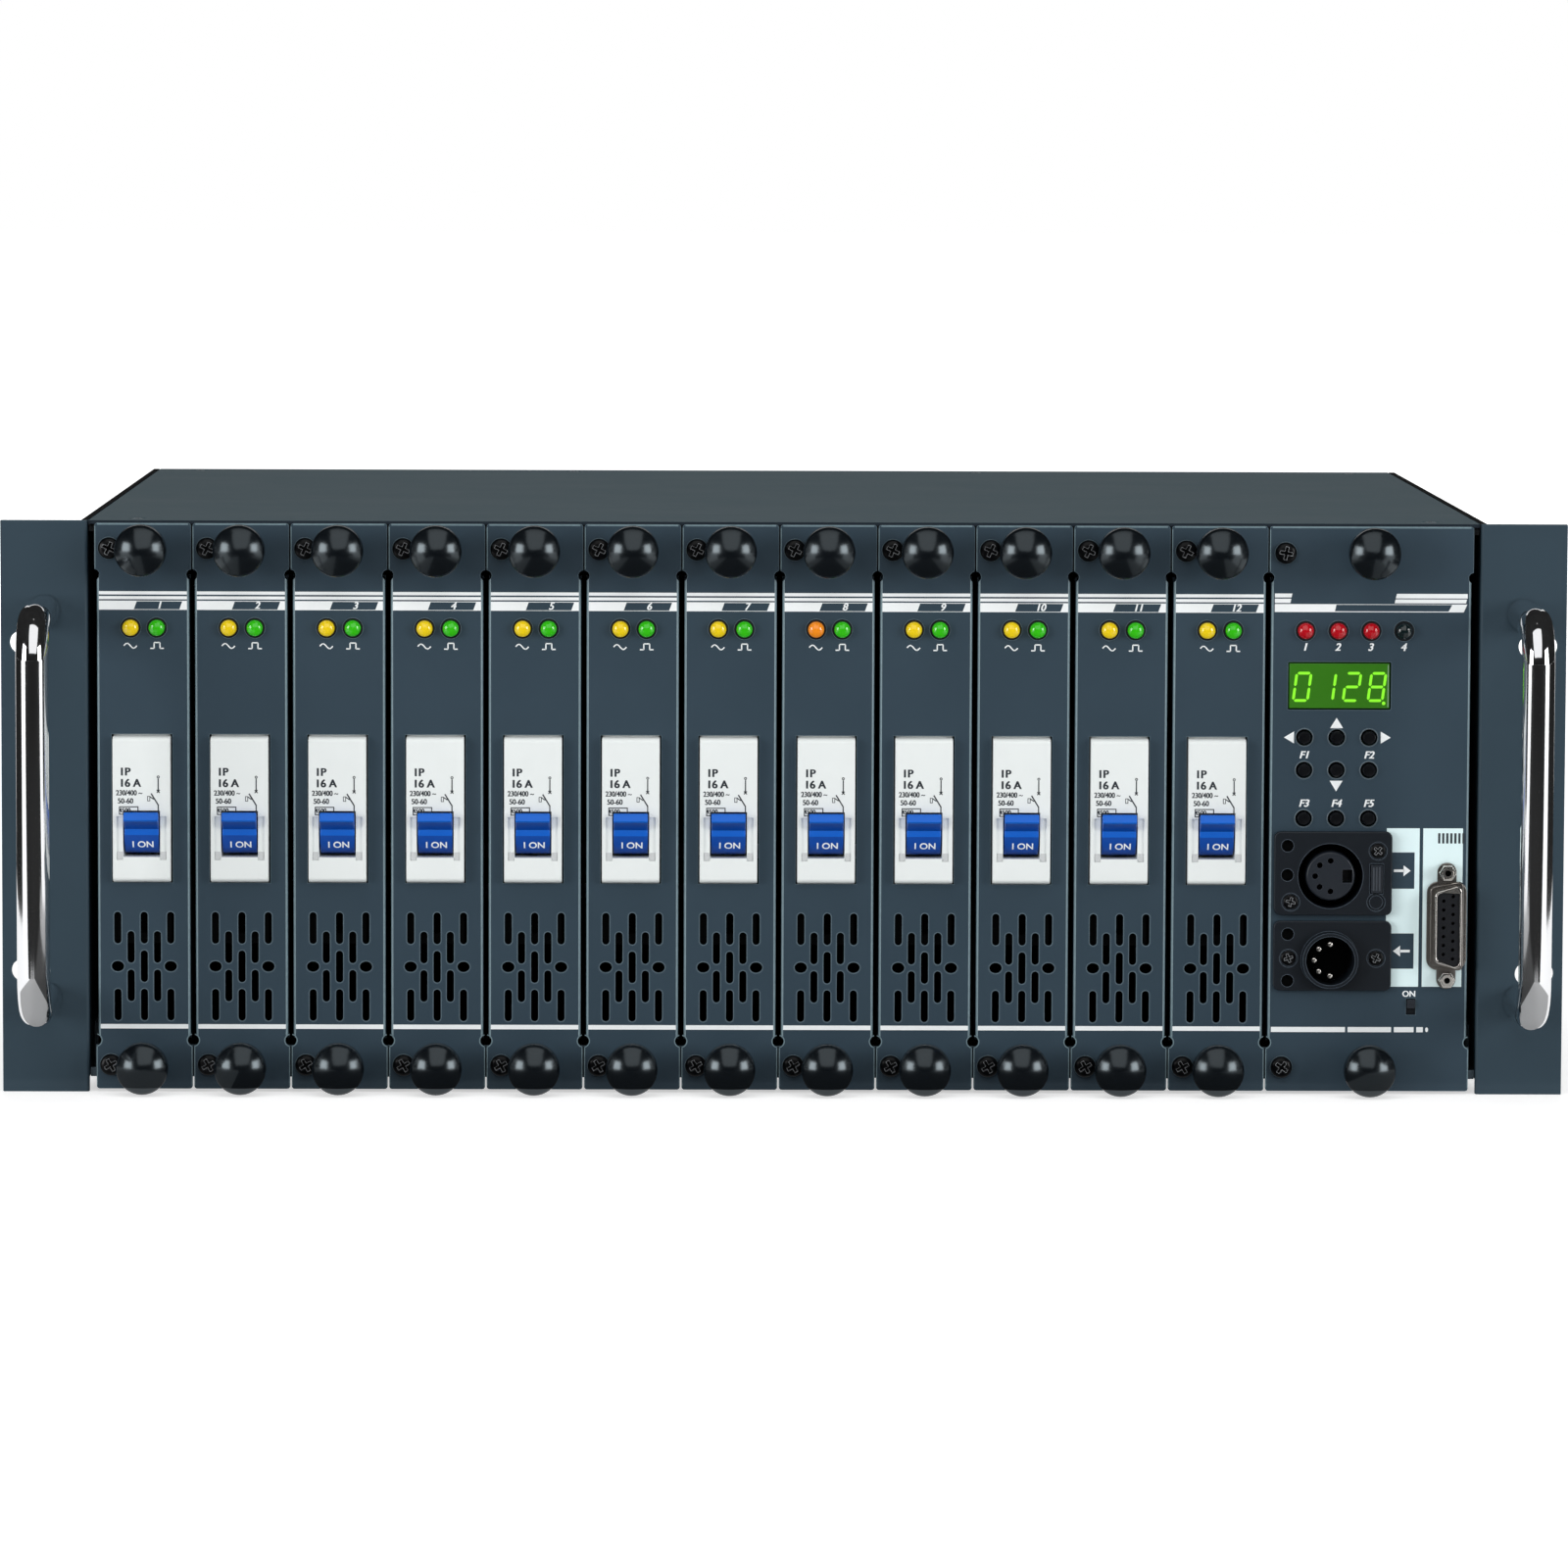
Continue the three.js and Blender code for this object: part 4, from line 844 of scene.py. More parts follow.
def module_print(number):
    """Stripes, a slanted block with the channel's number, the lamps' symbols and the lower line."""
    half = 13.55
    stripes = [box_outline(-half, half, a, b) for a, b in ((154.2, 155.2), (152.75, 153.7), (19.7, 21.1))]
    slab = slanted(-2.8, 11.2, 149.65, 152.1, 0.9, 0.9)
    stripes.insert(2, [box_outline(-half, half, 149.5, 152.3), slab])
    wave = [(-5.9 + i / 3, 138.4 + 0.75 * math.sin(TURN * i / 12)) for i in range(13)]
    pulse = [(2.2, 137.6), (3.4, 137.6), (3.4, 139.4), (5.2, 139.4), (5.2, 137.6), (6.4, 137.6)]
    lines = [stroke(a, b, 0.38) for path in (wave, pulse) for a, b in zip(path, path[1:])]
    digits = bold(str(number), 3.1, 5.0, 150.85, 0.08, shear=0.25, weight=0.03)
    return Piece("module_print").add("ink_white", *inked(*stripes), *digits, *lines).mesh()


panel_mesh = module_panel()
insides_mesh = module_insides()
breaker_mesh = breaker_case()
toggle_mesh = toggle_lever()
lamps_mesh = module_lamps("lamp_yellow")
warm_lamps_mesh = module_lamps("lamp_orange")
WARM_MODULE = 8

for count in range(1, MODULES + 1):
    at = -BAY_HALF + (count - 0.5) * PITCH
    tag = f"{count:02d}"
    body = "module_" + tag
    lamps = warm_lamps_mesh if count == WARM_MODULE else lamps_mesh
    place("panel_" + tag, panel_mesh, body, at, ["dimmer_tray_" + tag])
    place("insides_" + tag, insides_mesh, body, at, ["dimmer_tray_" + tag])
    place("lamps_" + tag, lamps, body, at, ["dimmer_tray_" + tag])
    place("print_" + tag, module_print(count), body, at)
    place("case_" + tag, breaker_mesh, body, at, ["breaker_" + tag])
    place("lever_" + tag, toggle_mesh, "toggle_" + tag, at, ["toggle_" + tag])


# Decoder, drawn round x = 0

KEY_ROWS = {
    111.0: ("left", "up", "right"),
    100.9: ("cancel", "down", "select"),
    85.9: ("set", "function", "mode"),
}
KEYS = {key: (10 * i - 20.3, z) for z, row in KEY_ROWS.items() for i, key in enumerate(row)}
INDICATORS = [-20.2 + 10.13 * i for i in range(4)]
SOCKET_X = -11.95
OUTPUT_Z = 68.2
INPUT_Z = 42.1
PLATE_LEFT = -29.4
PLATE_RIGHT = 7.1
LATCH_X = 2.3
LATCH_Z = 67.4
PORT_X = 24.2
PORT_Z = 52.7
SWITCH_X = 13.5
SWITCH_SLOT = box_outline(SWITCH_X - 1.5, SWITCH_X + 1.5, 24.8, 29.9)
SWITCH_BODY = box_outline(SWITCH_X - 3.1, SWITCH_X + 3.1, 23.2, 31.5)


def decoder_panel():
    cuts = [opening(ring(u, v, 2.55, 28)) for u, v in KEYS.values()] + lamp_holes(INDICATORS)
    cuts.append(opening(rounded(-25.55, 6.35, 119.55, 134.4, 0.5, 3)))
    latch = block(LATCH_X - 4, LATCH_X + 4.1, -3, SHEET + 3, 61.05, 73.75, 0)
    cuts.append(fused(opening(ring(SOCKET_X, OUTPUT_Z, 11.2, 32)), latch))
    cuts.append(opening(ring(SOCKET_X, INPUT_Z, 9.2, 32)))
    cuts += [opening(box_outline(PORT_X - 5, PORT_X + 5, 39.9, 65.5)), opening(SWITCH_SLOT)]
    piece = Piece("decoder_panel")
    piece.add("panel_paint", folded_sheet(DECODER_WIDTH, cuts), other="bend_highlight", where=is_bend)
    piece.add("bend_highlight", *worn_lines(DECODER_WIDTH)).add("knob_black", *knobs())
    piece.add("screw_black", *panel_screws(-26.5, 8.5, 168.0, 10, 35))
    piece.add("lamp_ring", *map(lamp_collar, INDICATORS))
    # A pale ring round each key hole: painted highlight on the hole's edge.
    rim = [(2.55, 0.3), (2.8, 0.3), (2.8, -0.08), (2.68, -0.16), (2.55, -0.08)]
    return piece.add("key_rim_highlight", *[turned(rim, u, v, 28, True) for u, v in KEYS.values()]).mesh()


def decoder_insides():
    left = -DECODER_WIDTH / 2 + EDGE_INSET + SHEET
    front_board = block(left, 14, 8.3, 9.9, 81.5, 150, 0.1)
    main_board = block(left + 0.8, left + 2.4, 14, 240, 22, 150, 0.1)
    chip_places = (40, 110), (84, 110), (40, 70), (130, 84)
    chips = [block(left + 2.4, left + 5.4, y, y + 26, z, z + 9, 0.4) for y, z in chip_places]
    terminals = [block(left + 2.4, left + 14, y, y + 12, 36, 48, 1.0) for y in (60, 80, 100)]
    can = [(0, 0), (5.4, 0), (5.6, -0.4), (5.6, -15.4), (5.2, -16), (0, -16)]
    cans = [shifted(turned(can, 0, 0, 24), left + 2.2, y, 120, 90) for y in (150, 168)]
    piece = Piece("decoder_insides").add("board_green", front_board, main_board)
    piece.add("black_and_shade", *chips).add("terminal_blue", *terminals)
    return piece.add("socket_black", *cans, rear_plug(left), plate([SWITCH_BODY], SHEET, 6.8, 0.3)).mesh()


def decoder_lamps():
    piece = Piece("decoder_lamps").add("lamp_red", *map(lamp, INDICATORS[:3]))
    return piece.add("lamp_dark", lamp(INDICATORS[3])).mesh()


PHOTO_MIDDLE = 800
PHOTO_SCALE = 3.303  # pixels to a millimetre


def at_pixel(px):
    """X from the decoder's middle of a column of the photograph."""
    return (px - PHOTO_MIDDLE) / PHOTO_SCALE - DECODER_X


def decoder_print():
    left, right = -29.8, 29.7
    slab = slanted(at_pixel(1360.4), at_pixel(1476.3), 150.05, 152.1, 0.45, 1.1)
    shapes = [
        slanted(left, at_pixel(1316), 154.3, 155.5, 0, 0.25),
        slanted(left, at_pixel(1315), 152.6, 153.9, 0, 0.25),
        slanted(at_pixel(1422.3), right, 154.1, 155.5, 0.35, 0),
        slanted(at_pixel(1421.2), right - 0.5, 152.6, 153.8, 0.3, 0.3),
        [slanted(left, at_pixel(1491.7), 149.8, 152.25, 0, 1.1), slab],
        [(-26.6, 111.0), (-23.5, 109.15), (-23.5, 112.85)],
        [(-12.35, 113.9), (-8.35, 113.9), (-10.35, 117.1)],
        [(6.4, 111.0), (3.3, 112.85), (3.3, 109.15)],
        [(-12.35, 97.6), (-10.35, 94.3), (-8.35, 97.6)],
        box_outline(left, at_pixel(1375), 19.4, 21.0),
    ]
    for start, end in ((1377.6, 1422.2), (1425, 1445.3), (1448, 1454.8)):
        shapes.append(box_outline(at_pixel(start), at_pixel(end), 19.4, 21.0))
    shapes.append(oval(at_pixel(1458.6), 20.2, 0.9, 1.5, 16))
    piece = Piece("decoder_print").add("ink_white", *inked(*shapes))
    piece.add("ink_white", *bold("ON", 2.6, 12.9, 31.3, 0.06, weight=0.03))
    labels = [(str(number), 3.3, u - 0.2, 138.9) for number, u in enumerate(INDICATORS, 1)]
    for number, key in enumerate(("cancel", "select", "set", "function", "mode"), 1):
        labels.append((f"F{number}", 3.2, KEYS[key][0], KEYS[key][1] + 4.6))
    for label in labels:
        piece.add("ink_white", *bold(*label, 0.08, shear=0.25, weight=0.04))
    bottom, top = 33.6, 82.9
    label_left, label_right = at_pixel(1419.4), at_pixel(1444.4)
    field = [box_outline(at_pixel(1415.7), at_pixel(1449.4), bottom, top)]
    field += [box_outline(label_left, label_right, a, b) for a, b in ((64.1, 75.4), (39.2, 50.2))]
    piece.add("ink_mint", *inked(field, box_outline(at_pixel(1453), at_pixel(1493.6), bottom, top)))
    middle = (label_left + label_right) / 2
    for base, lean in ((69.7, 1), (44.7, -1)):
        tip, tail = middle + 2.6 * lean, middle - 2.6 * lean
        head = [(tip, base), (tip - 2.2 * lean, base + 1.7), (tip - 2.2 * lean, base - 1.7)]
        piece.add("ink_white", *inked(head), stroke((tail, base), (tip - 2.0 * lean, base), 0.8))
    ticks = [box_outline(21.4 + 1.25 * i, 22.1 + 1.25 * i, 78.2, 81.4) for i in range(7)]
    return piece.add("ink_dark", *[plate([tick], -1.5 * INK, INK) for tick in ticks]).mesh()


SEGMENTS = {"0": "abcdef", "1": "bc", "2": "abged", "8": "abcdefg"}
DIGIT_BASE = 122.0
DIGIT_TALL = 9.3
DIGIT_WIDE = 4.4
DIGIT_LEAN = 0.13
DIGIT_PLACES = (-21.1, -13.4, -5.7, 2.0)


def segment_shapes():
    """The seven segments of a digit that leans, from the middle of its foot."""
    t, gap = 0.425, 0.2  # half a segment's thickness, and the gap at its ends
    low, mid, high = t, DIGIT_TALL / 2, DIGIT_TALL - t
    shapes = {}
    for letter, v in (("a", high), ("g", mid), ("d", low)):
        u = DIGIT_WIDE / 2 - gap
        shapes[letter] = [(-u, v), (t - u, v - t), (u - t, v - t), (u, v), (u - t, v + t), (t - u, v + t)]
    posts = ("b", 1, mid, high), ("c", 1, low, mid), ("f", -1, mid, high), ("e", -1, low, mid)
    for letter, side, start, end in posts:
        u, a, b = side * DIGIT_WIDE / 2, start + gap, end - gap
        shapes[letter] = [(u, a), (u + t, a + t), (u + t, b - t), (u, b), (u - t, b - t), (u - t, a + t)]
    for letter, shape in shapes.items():
        shapes[letter] = [(u + DIGIT_LEAN * (v - DIGIT_TALL / 2), v) for u, v in shape]
    return shapes


def display_window():
    """Four digits behind a green window."""
    front, back = 0.27, 0.34
    shapes = segment_shapes()
    digits = []
    for digit, middle in zip("0128", DIGIT_PLACES):
        for letter in SEGMENTS[digit]:
            digits.append(plate([[(middle + u, DIGIT_BASE + v) for u, v in shapes[letter]]], front, back))
    digits.append(plate([ring(4.1, 121.6, 0.55, 16)], front, back))
    piece = Piece("display_window").add("display_green", block(-25.1, 5.9, 0.3, 8.0, 120.0, 133.9, 0.25))
    # A pale strip at the window's right edge: painted highlight on its bevel.
    piece.add("display_edge_highlight", plate([box_outline(5.3, 5.6, 120.4, 133.5)], 0.26, 0.32))
    return piece.add("segment_green", *digits).mesh()


def key_cap():
    """A round key, drawn at the place of its axis."""
    profile = [(0, 7.5), (2.05, 7.5), (2.05, -0.75), (1.95, -1.1), (1.7, -1.33), (1.1, -1.4), (0, -1.4)]
    return Piece("key_cap").add("key_black", turned(profile, 0, 0, 32)).mesh()


PIN_ANGLES = [90, 135, 180, 225, 270]
BLANK_HOLES = [(-25.3, 77.6), (-25.3, 68.5), (-25.0, 50.1), (-25.0, 35.6)]


def pin_place(angle, v, circle):
    turn = math.radians(angle)
    return SOCKET_X + circle * math.cos(turn), v + circle * math.sin(turn)


def blank_holes(places, front):
    return [pin(1.9, front - 2, front + 1.5, u, v, 24) for u, v in places]


# Faces inside the blank holes, which are painted black as shade.
def in_blank_hole(centre, normal):
    return centre.y > -1.6 and any(math.hypot(centre.x - u, centre.z - v) < 1.95 for u, v in BLANK_HOLES)


def screw_wells(places, front, floor):
    profile = [(0, floor), (2.7, floor), (2.9, front - 1), (0, front - 1)]
    return [turned(profile, u, v, 28) for u, v in places]


def output_socket():
    front = -2.3
    floor = front + 0.9
    x, z = SOCKET_X, OUTPUT_Z
    made = plate([rounded(PLATE_LEFT, PLATE_RIGHT, 56, 82, 2, 6)], front, -0.3, 0.4, 2)
    made = fused(made, pin(10.9, front + 0.5, 21.5, x, z, 48))
    groove = [(0, 11.7), (10.0, 11.7), (10.0, front + 0.3), (10.4, front - 1), (0, front - 1)]
    wells = screw_wells(((-24.2, 60.1), (2.7, 76.0), (2.2, 60.1)), front, floor)
    latch_well = block(LATCH_X - 2.1, LATCH_X + 2.1, front - 1, 3.6, LATCH_Z - 4.65, LATCH_Z + 4.65, 0)
    made = cut(made, turned(groove, x, z, 48), *blank_holes(BLANK_HOLES[:2], front), *wells)
    made = cut(made, latch_well)
    contacts = [pin(0.95, front - 1, 6, *pin_place(a, z, 4.75), 16) for a in PIN_ANGLES]
    key = block(x + 3.6, x + 6.8, front - 1, 5, z - 2.1, z + 2.1, 0)
    core = [(0, 12), (7.9, 12), (7.6, front + 0.6), (7.3, front + 0.15), (7.0, front), (0, front)]
    piece = Piece("output_socket").add("socket_black", made, other="black_and_shade", where=in_blank_hole)
    piece.add("core_black", cut(turned(core, x, z, 48), key, *contacts))
    # A black disc at the bottom of the groove: painted shade.
    piece.add("black_and_shade", pin(10.1, 11.6, 11.9, x, z, 48))
    piece.add("screw_black", screw(-24.2, 60.1, floor, 2.3, 0.8, 15), screw(2.7, 76.0, floor, 2.3, 0.8, 40))
    cap = [(0, floor), (2.2, floor), (2.1, front + 0.3), (0, front + 0.3)]
    return piece.add("socket_black", turned(cap, 2.2, 60.1, 28)).mesh()


def latch_tab():
    front = -3.3
    tab = block(LATCH_X - 1.8, LATCH_X + 1.8, front + 0.25, 2.2, LATCH_Z - 4.35, LATCH_Z + 4.35, 0.3)
    lefts = [LATCH_X - 1.2 + 0.9 * i for i in range(3)]
    ribs = [block(left, left + 0.5, front, front + 1, LATCH_Z - 3.6, LATCH_Z + 3.6, 0.1) for left in lefts]
    return Piece("latch_tab").add("core_black", tab).add("case_dark", *ribs).mesh()


def input_plug():
    front = -1.9
    floor = front + 0.8
    shell = front - 3.4
    x, z = SOCKET_X, INPUT_Z
    made = plate([rounded(PLATE_LEFT, PLATE_RIGHT, 32.5, 54.2, 2, 6)], front, -0.3, 0.35, 2)
    barrel = [(0, 16.7), (8.9, 16.7), (8.9, shell + 0.5), (8.6, shell), (0, shell)]
    made = fused(made, turned(barrel, x, z, 48))
    wells = screw_wells(((-24.7, 42.6), (2.4, 42.6)), front, floor)
    cavity = [(0, 7.7), (7.5, 7.7), (7.5, shell + 0.3), (7.8, shell - 1), (0, shell - 1)]
    made = cut(made, turned(cavity, x, z, 48), *blank_holes(BLANK_HOLES[2:], front), *wells)
    piece = Piece("input_plug").add("socket_black", made, other="black_and_shade", where=in_blank_hole)
    # A black disc at the back of the cavity: painted shade.
    piece.add("black_and_shade", pin(7.6, 7.6, 7.9, x, z, 48))
    piece.add("screw_black", screw(-24.7, 42.6, floor, 2.3, 0.8, 70), screw(2.4, 42.6, floor, 2.3, 0.8, 25))
    tip = shell + 2.0
    profile = [(0, 8), (0.9, 8), (0.9, tip + 0.5), (0.7, tip + 0.12), (0.4, tip), (0, tip)]
    pins = [turned(profile, *pin_place(a, z, 4.9), 16) for a in PIN_ANGLES]
    return piece.add("shell_metal", *pins).mesh()


def port_outline(inset):
    """The D-shaped shell: its longer side faces right."""
    half, tall, short, corner = 4.1 - inset, 12.7 - inset, 11.3 - inset, 1.6
    left, right = PORT_X - half + corner, PORT_X + half - corner
    tall, short = tall - corner, short - corner
    return (
        arc(right, PORT_Z + tall, corner, 0, 97, 5)
        + arc(left, PORT_Z + short, corner, 97, 180, 5)
        + arc(left, PORT_Z - short, corner, 180, 263, 5)
        + arc(right, PORT_Z - tall, corner, 263, 360, 5)
    )


def port_socket():
    front, shell = -1.3, -7.1
    x, middle = PORT_X, PORT_Z
    flange = plate([rounded(x - 6.2, x + 6.2, middle - 13.8, middle + 13.8, 3.5, 6)], front, -0.3, 0.3)
    lugs = plate([rounded(x - 3, x + 3, middle - 19.65, middle + 19.65, 2.98, 8)], front, -0.3, 0.3)
    rise = plate([port_outline(-1.1)], front - 0.9, front + 0.3, 0.4, 2)
    skirt = plate([port_outline(0), port_outline(0.55)], shell, front, 0.2, 2)
    piece = Piece("port_socket").add("flange_metal", fused(flange, lugs), rise).add("shell_metal", skirt)
    holes = []
    for u, pins in ((x + 1.45, 8), (x - 1.45, 7)):
        for i in range(pins):
            v = middle + (i - (pins - 1) / 2) * 2.76
            holes.append(plate([ring(u, v, 0.55, 14)], shell - 1, shell + 5))
    piece.add("insert_black", cut(plate([port_outline(0.6)], shell + 0.6, 10.8), *holes))
    piece.add("zinc", block(x - 4.65, x + 4.65, front, 10.9, middle - 12.4, middle + 12.4, 0.4))
    for z in (middle - 16.65, middle + 16.65):
        nut = plate([ring(x, z, 2.65, 6), ring(x, z, 0.95, 20)], -4.6, front, 0.25)
        collar = turned([(0.95, -4.5), (1.9, -4.5), (1.7, -4.8), (0.95, -4.8)], x, z, 28, True)
        # A black plug inside each nut's hole: painted shade.
        piece.add("shell_metal", nut, collar).add("black_and_shade", pin(1.1, -3.2, -2, x, z, 20))
    return piece.mesh()


def slide_switch():
    left, right = SWITCH_X - 1.2, SWITCH_X + 1.2
    ribs = [block(left, right, -0.9, -0.6, z, z + 0.25, 0.05) for z in (27.5, 28.2, 28.9)]
    nub = block(left, right, -0.9, 4.9, 27.0, 29.6, 0.15)
    return Piece("slide_switch").add("core_black", nub, *ribs).mesh()


def switch_box():
    made = [plate([SWITCH_BODY, SWITCH_SLOT], SHEET, 5.4), plate([SWITCH_BODY], 5.3, 6.8)]
    return Piece("switch_box").add("black_and_shade", *made).mesh()


place("decoder_panel", decoder_panel(), "decoder", DECODER_X, ["decoder_front"])
place("decoder_insides", decoder_insides(), "decoder", DECODER_X, ["decoder_front"])
place("decoder_lamps", decoder_lamps(), "decoder", DECODER_X, ["decoder_front"])
place("decoder_print", decoder_print(), "decoder", DECODER_X)
place("switch_box", switch_box(), "decoder", DECODER_X)
place("display_digits", display_window(), "decoder", DECODER_X, ["display"])
place("output_socket", output_socket(), "decoder", DECODER_X, ["data_output"])
place("input_plug", input_plug(), "decoder", DECODER_X, ["data_input"])
place("port_socket", port_socket(), "decoder", DECODER_X, ["control_port"])
place("latch_tab", latch_tab(), "output_latch", DECODER_X, ["output_latch"])
place("slide_nub", slide_switch(), "terminate_slider", DECODER_X, ["terminate_slider"])
key_mesh = key_cap()
for key, (u, v) in KEYS.items():
    cap = place("key_" + key, key_mesh, "button_" + key, DECODER_X + u, ["button_" + key])
    cap.matrix_world = Matrix.Translation(((DECODER_X + u) * MM, 0, v * MM))


# Chassis

EAR = 2.0
SLOT_RISE = 50.8  # of an ear's slots, from the middle of its height
TRAY_BOTTOM = 4.6
INSIDE = WALL - 0.3  # half the width of what stands between the side walls


def side_panel(hand):
    """A side wall with its rack ear bent outwards, and the screws that hold the cover's lip."""
    outside = WALL + EAR
    outline = [(outside, EAR), (outside, DEPTH), (WALL, DEPTH)]
    outline += arc(WALL + 1, 1, 1, 180, 270, 4) + [(HALF_WIDTH, 0), (HALF_WIDTH, EAR)]
    x = HALF_WIDTH - 8.75
    slots = []
    for z in (HEIGHT / 2 - SLOT_RISE, HEIGHT / 2 + SLOT_RISE):
        slots.append(plate([rounded(x - 6, x + 6, z - 3.5, z + 3.5, 3.49, 10)], -2, EAR + 2))
    relief = block(WALL - 2, outside + 2, EAR, DEPTH + 2, -2, TRAY_BOTTOM, 0)
    shoulder = block(WALL - 2, outside + 2, EAR + 0.3, DEPTH + 2, HEIGHT - 0.15, HEIGHT + 2, 0)
    made = cut(upright([outline], 0, HEIGHT, 0.25), *slots, relief, shoulder)
    # A black strip on the wall's top edge: painted shade of the gap beside the cover.
    rim = block(WALL + 0.05, outside - 0.05, EAR + 0.3, DEPTH - 0.1, HEIGHT - 0.2, HEIGHT, 0)
    places = [(y, z) for y in (60, 165, 270) for z in (170, 12)]
    screws = [shifted(screw(0, 0, 0, 2.9, 1.3, 30), outside - 0.2, y, z, 90) for y, z in places]
    if hand < 0:
        for mesh in [made, rim] + screws:
            mesh.transform(Matrix.Diagonal((-1, 1, 1, 1)))
            mesh.flip_normals()
    return Piece("side").add("ear_paint", made).add("wall_top_shade", rim).add("screw_black", *screws).mesh()


def bail_handle(hand):
    x = hand * (HALF_WIDTH - 13.6)
    bottom, top, out, bend = 29.1, 149.1, -46.0, 12.0
    path = [(-0.3, bottom), (-12, bottom)] + arc(out + bend, bottom + bend, bend, 270, 180, 14)
    path += arc(out + bend, top - bend, bend, 180, 90, 14) + [(-12, top), (-0.3, top)]
    piece = Piece("handle").add("chrome", rod([(x, y, z) for y, z in path], 5.0, 40))
    bolt = [(0, 2.0), (5.2, 2.0), (5.2, 3.4), (4.6, 4.2), (0, 4.4)]
    return piece.add("zinc", *[turned(bolt, x, z, 32) for z in (bottom, top)]).mesh()


def foot(x, y):
    profile = [(0, 4.9), (9.2, 4.9), (9.2, 4.0), (8.6, 2.0), (7.6, 0.3), (7.2, 0.02), (0, 0.02)]
    made = turned(profile, 0, 0, 36)
    made.transform(Matrix.Translation((x, y, 0)) @ UPRIGHT)
    return tidy(made)


CARRIERS = [-BAY_HALF + EDGE_INSET + SHEET / 2 + i * PITCH for i in range(MODULES + 1)]
FAN_Z = 112.0
FAN_X = 96.0
FAN_SCREW = 35.75  # from the middle of a fan, each way
FAN_RADIUS = 38


def rear_screws(places, spin):
    return [shifted(screw(0, 0, 0, 2.6, 0.7, spin), x, DEPTH, z, 180) for x, z in places]


def chassis_tray():
    half, bottom = INSIDE, TRAY_BOTTOM
    floor = bottom + SHEET
    top = bottom + 15
    section = mirrored([(half, bottom), (half, top), (half - SHEET, top), (half - SHEET, floor)])
    lip = mirrored([(half, bottom), (half, 7.4), (BAY_HALF, 7.4), (BAY_HALF, 14.5)])
    rear = [rounded(-half, half, bottom, 175.5, 0.6, 2)]
    for middle in (-FAN_X, FAN_X):
        for i in range(-2, 3):
            reach = math.sqrt(FAN_RADIUS**2 - (i * 15.2) ** 2)
            z = FAN_Z + i * 15.2
            rear.append(rounded(middle - reach, middle + reach, z - 5.1, z + 5.1, 5.0, 6))
    sheets = [plate([section], 17, 319, 0.1), plate([lip], 1.5, 2.7, 0.1)]
    sheets += [block(-half, half, 2.6, 17.1, bottom, floor, 0.1), plate(rear, 318.8, DEPTH, 0.1)]
    knock_out = [(0, 319.9), (11, 319.9), (11, 320.6), (10.8, 320.75)]
    knock_out += [(9.2, 320.75), (9.0, 320.4), (0, 320.4)]
    sheets += [turned(knock_out, (i - 2.5) * 52, 34, 40) for i in range(6)]
    piece = Piece("chassis_tray").add("tray_paint", *sheets)
    for x in CARRIERS:
        rib = mirrored([(2.1, 5.6), (2.1, 21.7), (1, 21.7), (1, 15.7)], x)
        piece.add("black_and_shade", plate([rib], 20, 269.7, 0.1))
    piece.add("rubber", *[foot(x, y) for x in (-half + 40, half - 40) for y in (34, DEPTH - 30)])
    ways = (-FAN_SCREW, FAN_SCREW)
    places = [(middle + dx, FAN_Z + dz) for middle in (-FAN_X, FAN_X) for dx in ways for dz in ways]
    screws = rear_screws(places, 40) + rear_screws([(x, 170) for x in (-205, -140, -40, 40, 140, 205)], 10)
    return piece.add("screw_black", *screws).mesh()


def cooling_fan(middle):
    square = rounded(middle - 40, middle + 40, FAN_Z - 40, FAN_Z + 40, 3, 4)
    case = plate([square, ring(middle, FAN_Z, FAN_RADIUS, 48)], 293.4, 318.4, 0.3)
    hub = turned([(0, 296), (14, 296), (15, 297), (15, 315.5), (14, 316.5), (0, 316.5)], middle, FAN_Z, 32)
    piece = Piece("fan").add("black_and_shade", case, hub)
    for i in range(7):
        blade = shifted(block(14, 36.8, -0.7, 0.7, -9, 9, 0.3), 0, 0, 0, 48, "X")
        piece.add("rubber", shifted(blade, middle, 306, FAN_Z, 360 * i / 7, "Y"))
    for i in range(4):
        spoke = block(13, 39, 0, 2, -1.5, 1.5, 0.3)
        piece.add("black_and_shade", shifted(spoke, middle, 316, FAN_Z, 45 + 90 * i, "Y"))
    return piece.mesh()


def top_cover():
    half = INSIDE
    holes = [(x, 312) for x in (-200, -70, 70, 200)] + [(x, 12) for x in (-200, 200)]
    outlines = [box_outline(-half, half, 1.5, DEPTH)] + [ring(x, y, 2.9, 24) for x, y in holes]
    lips = [box_outline(left, left + SHEET, 22, DEPTH - 6) for left in (-half, half - SHEET)]
    heads = [shifted(screw(0, 0, 0, 2.8, 0.9, 35), x, y, 176.05, -90, "X") for x, y in holes]
    made = upright(outlines, 175.8, HEIGHT, 0.15)
    piece = Piece("top_cover")
    # The cover's front face is darker: painted shade of the gap above the panels.
    piece.add("cover_paint", made, other="cover_edge_shade", where=lambda centre, normal: normal.y < -0.9)
    piece.add("cover_paint", *[upright([lip], 161.8, 175.9, 0.1) for lip in lips])
    return piece.add("screw_black", *heads).mesh()


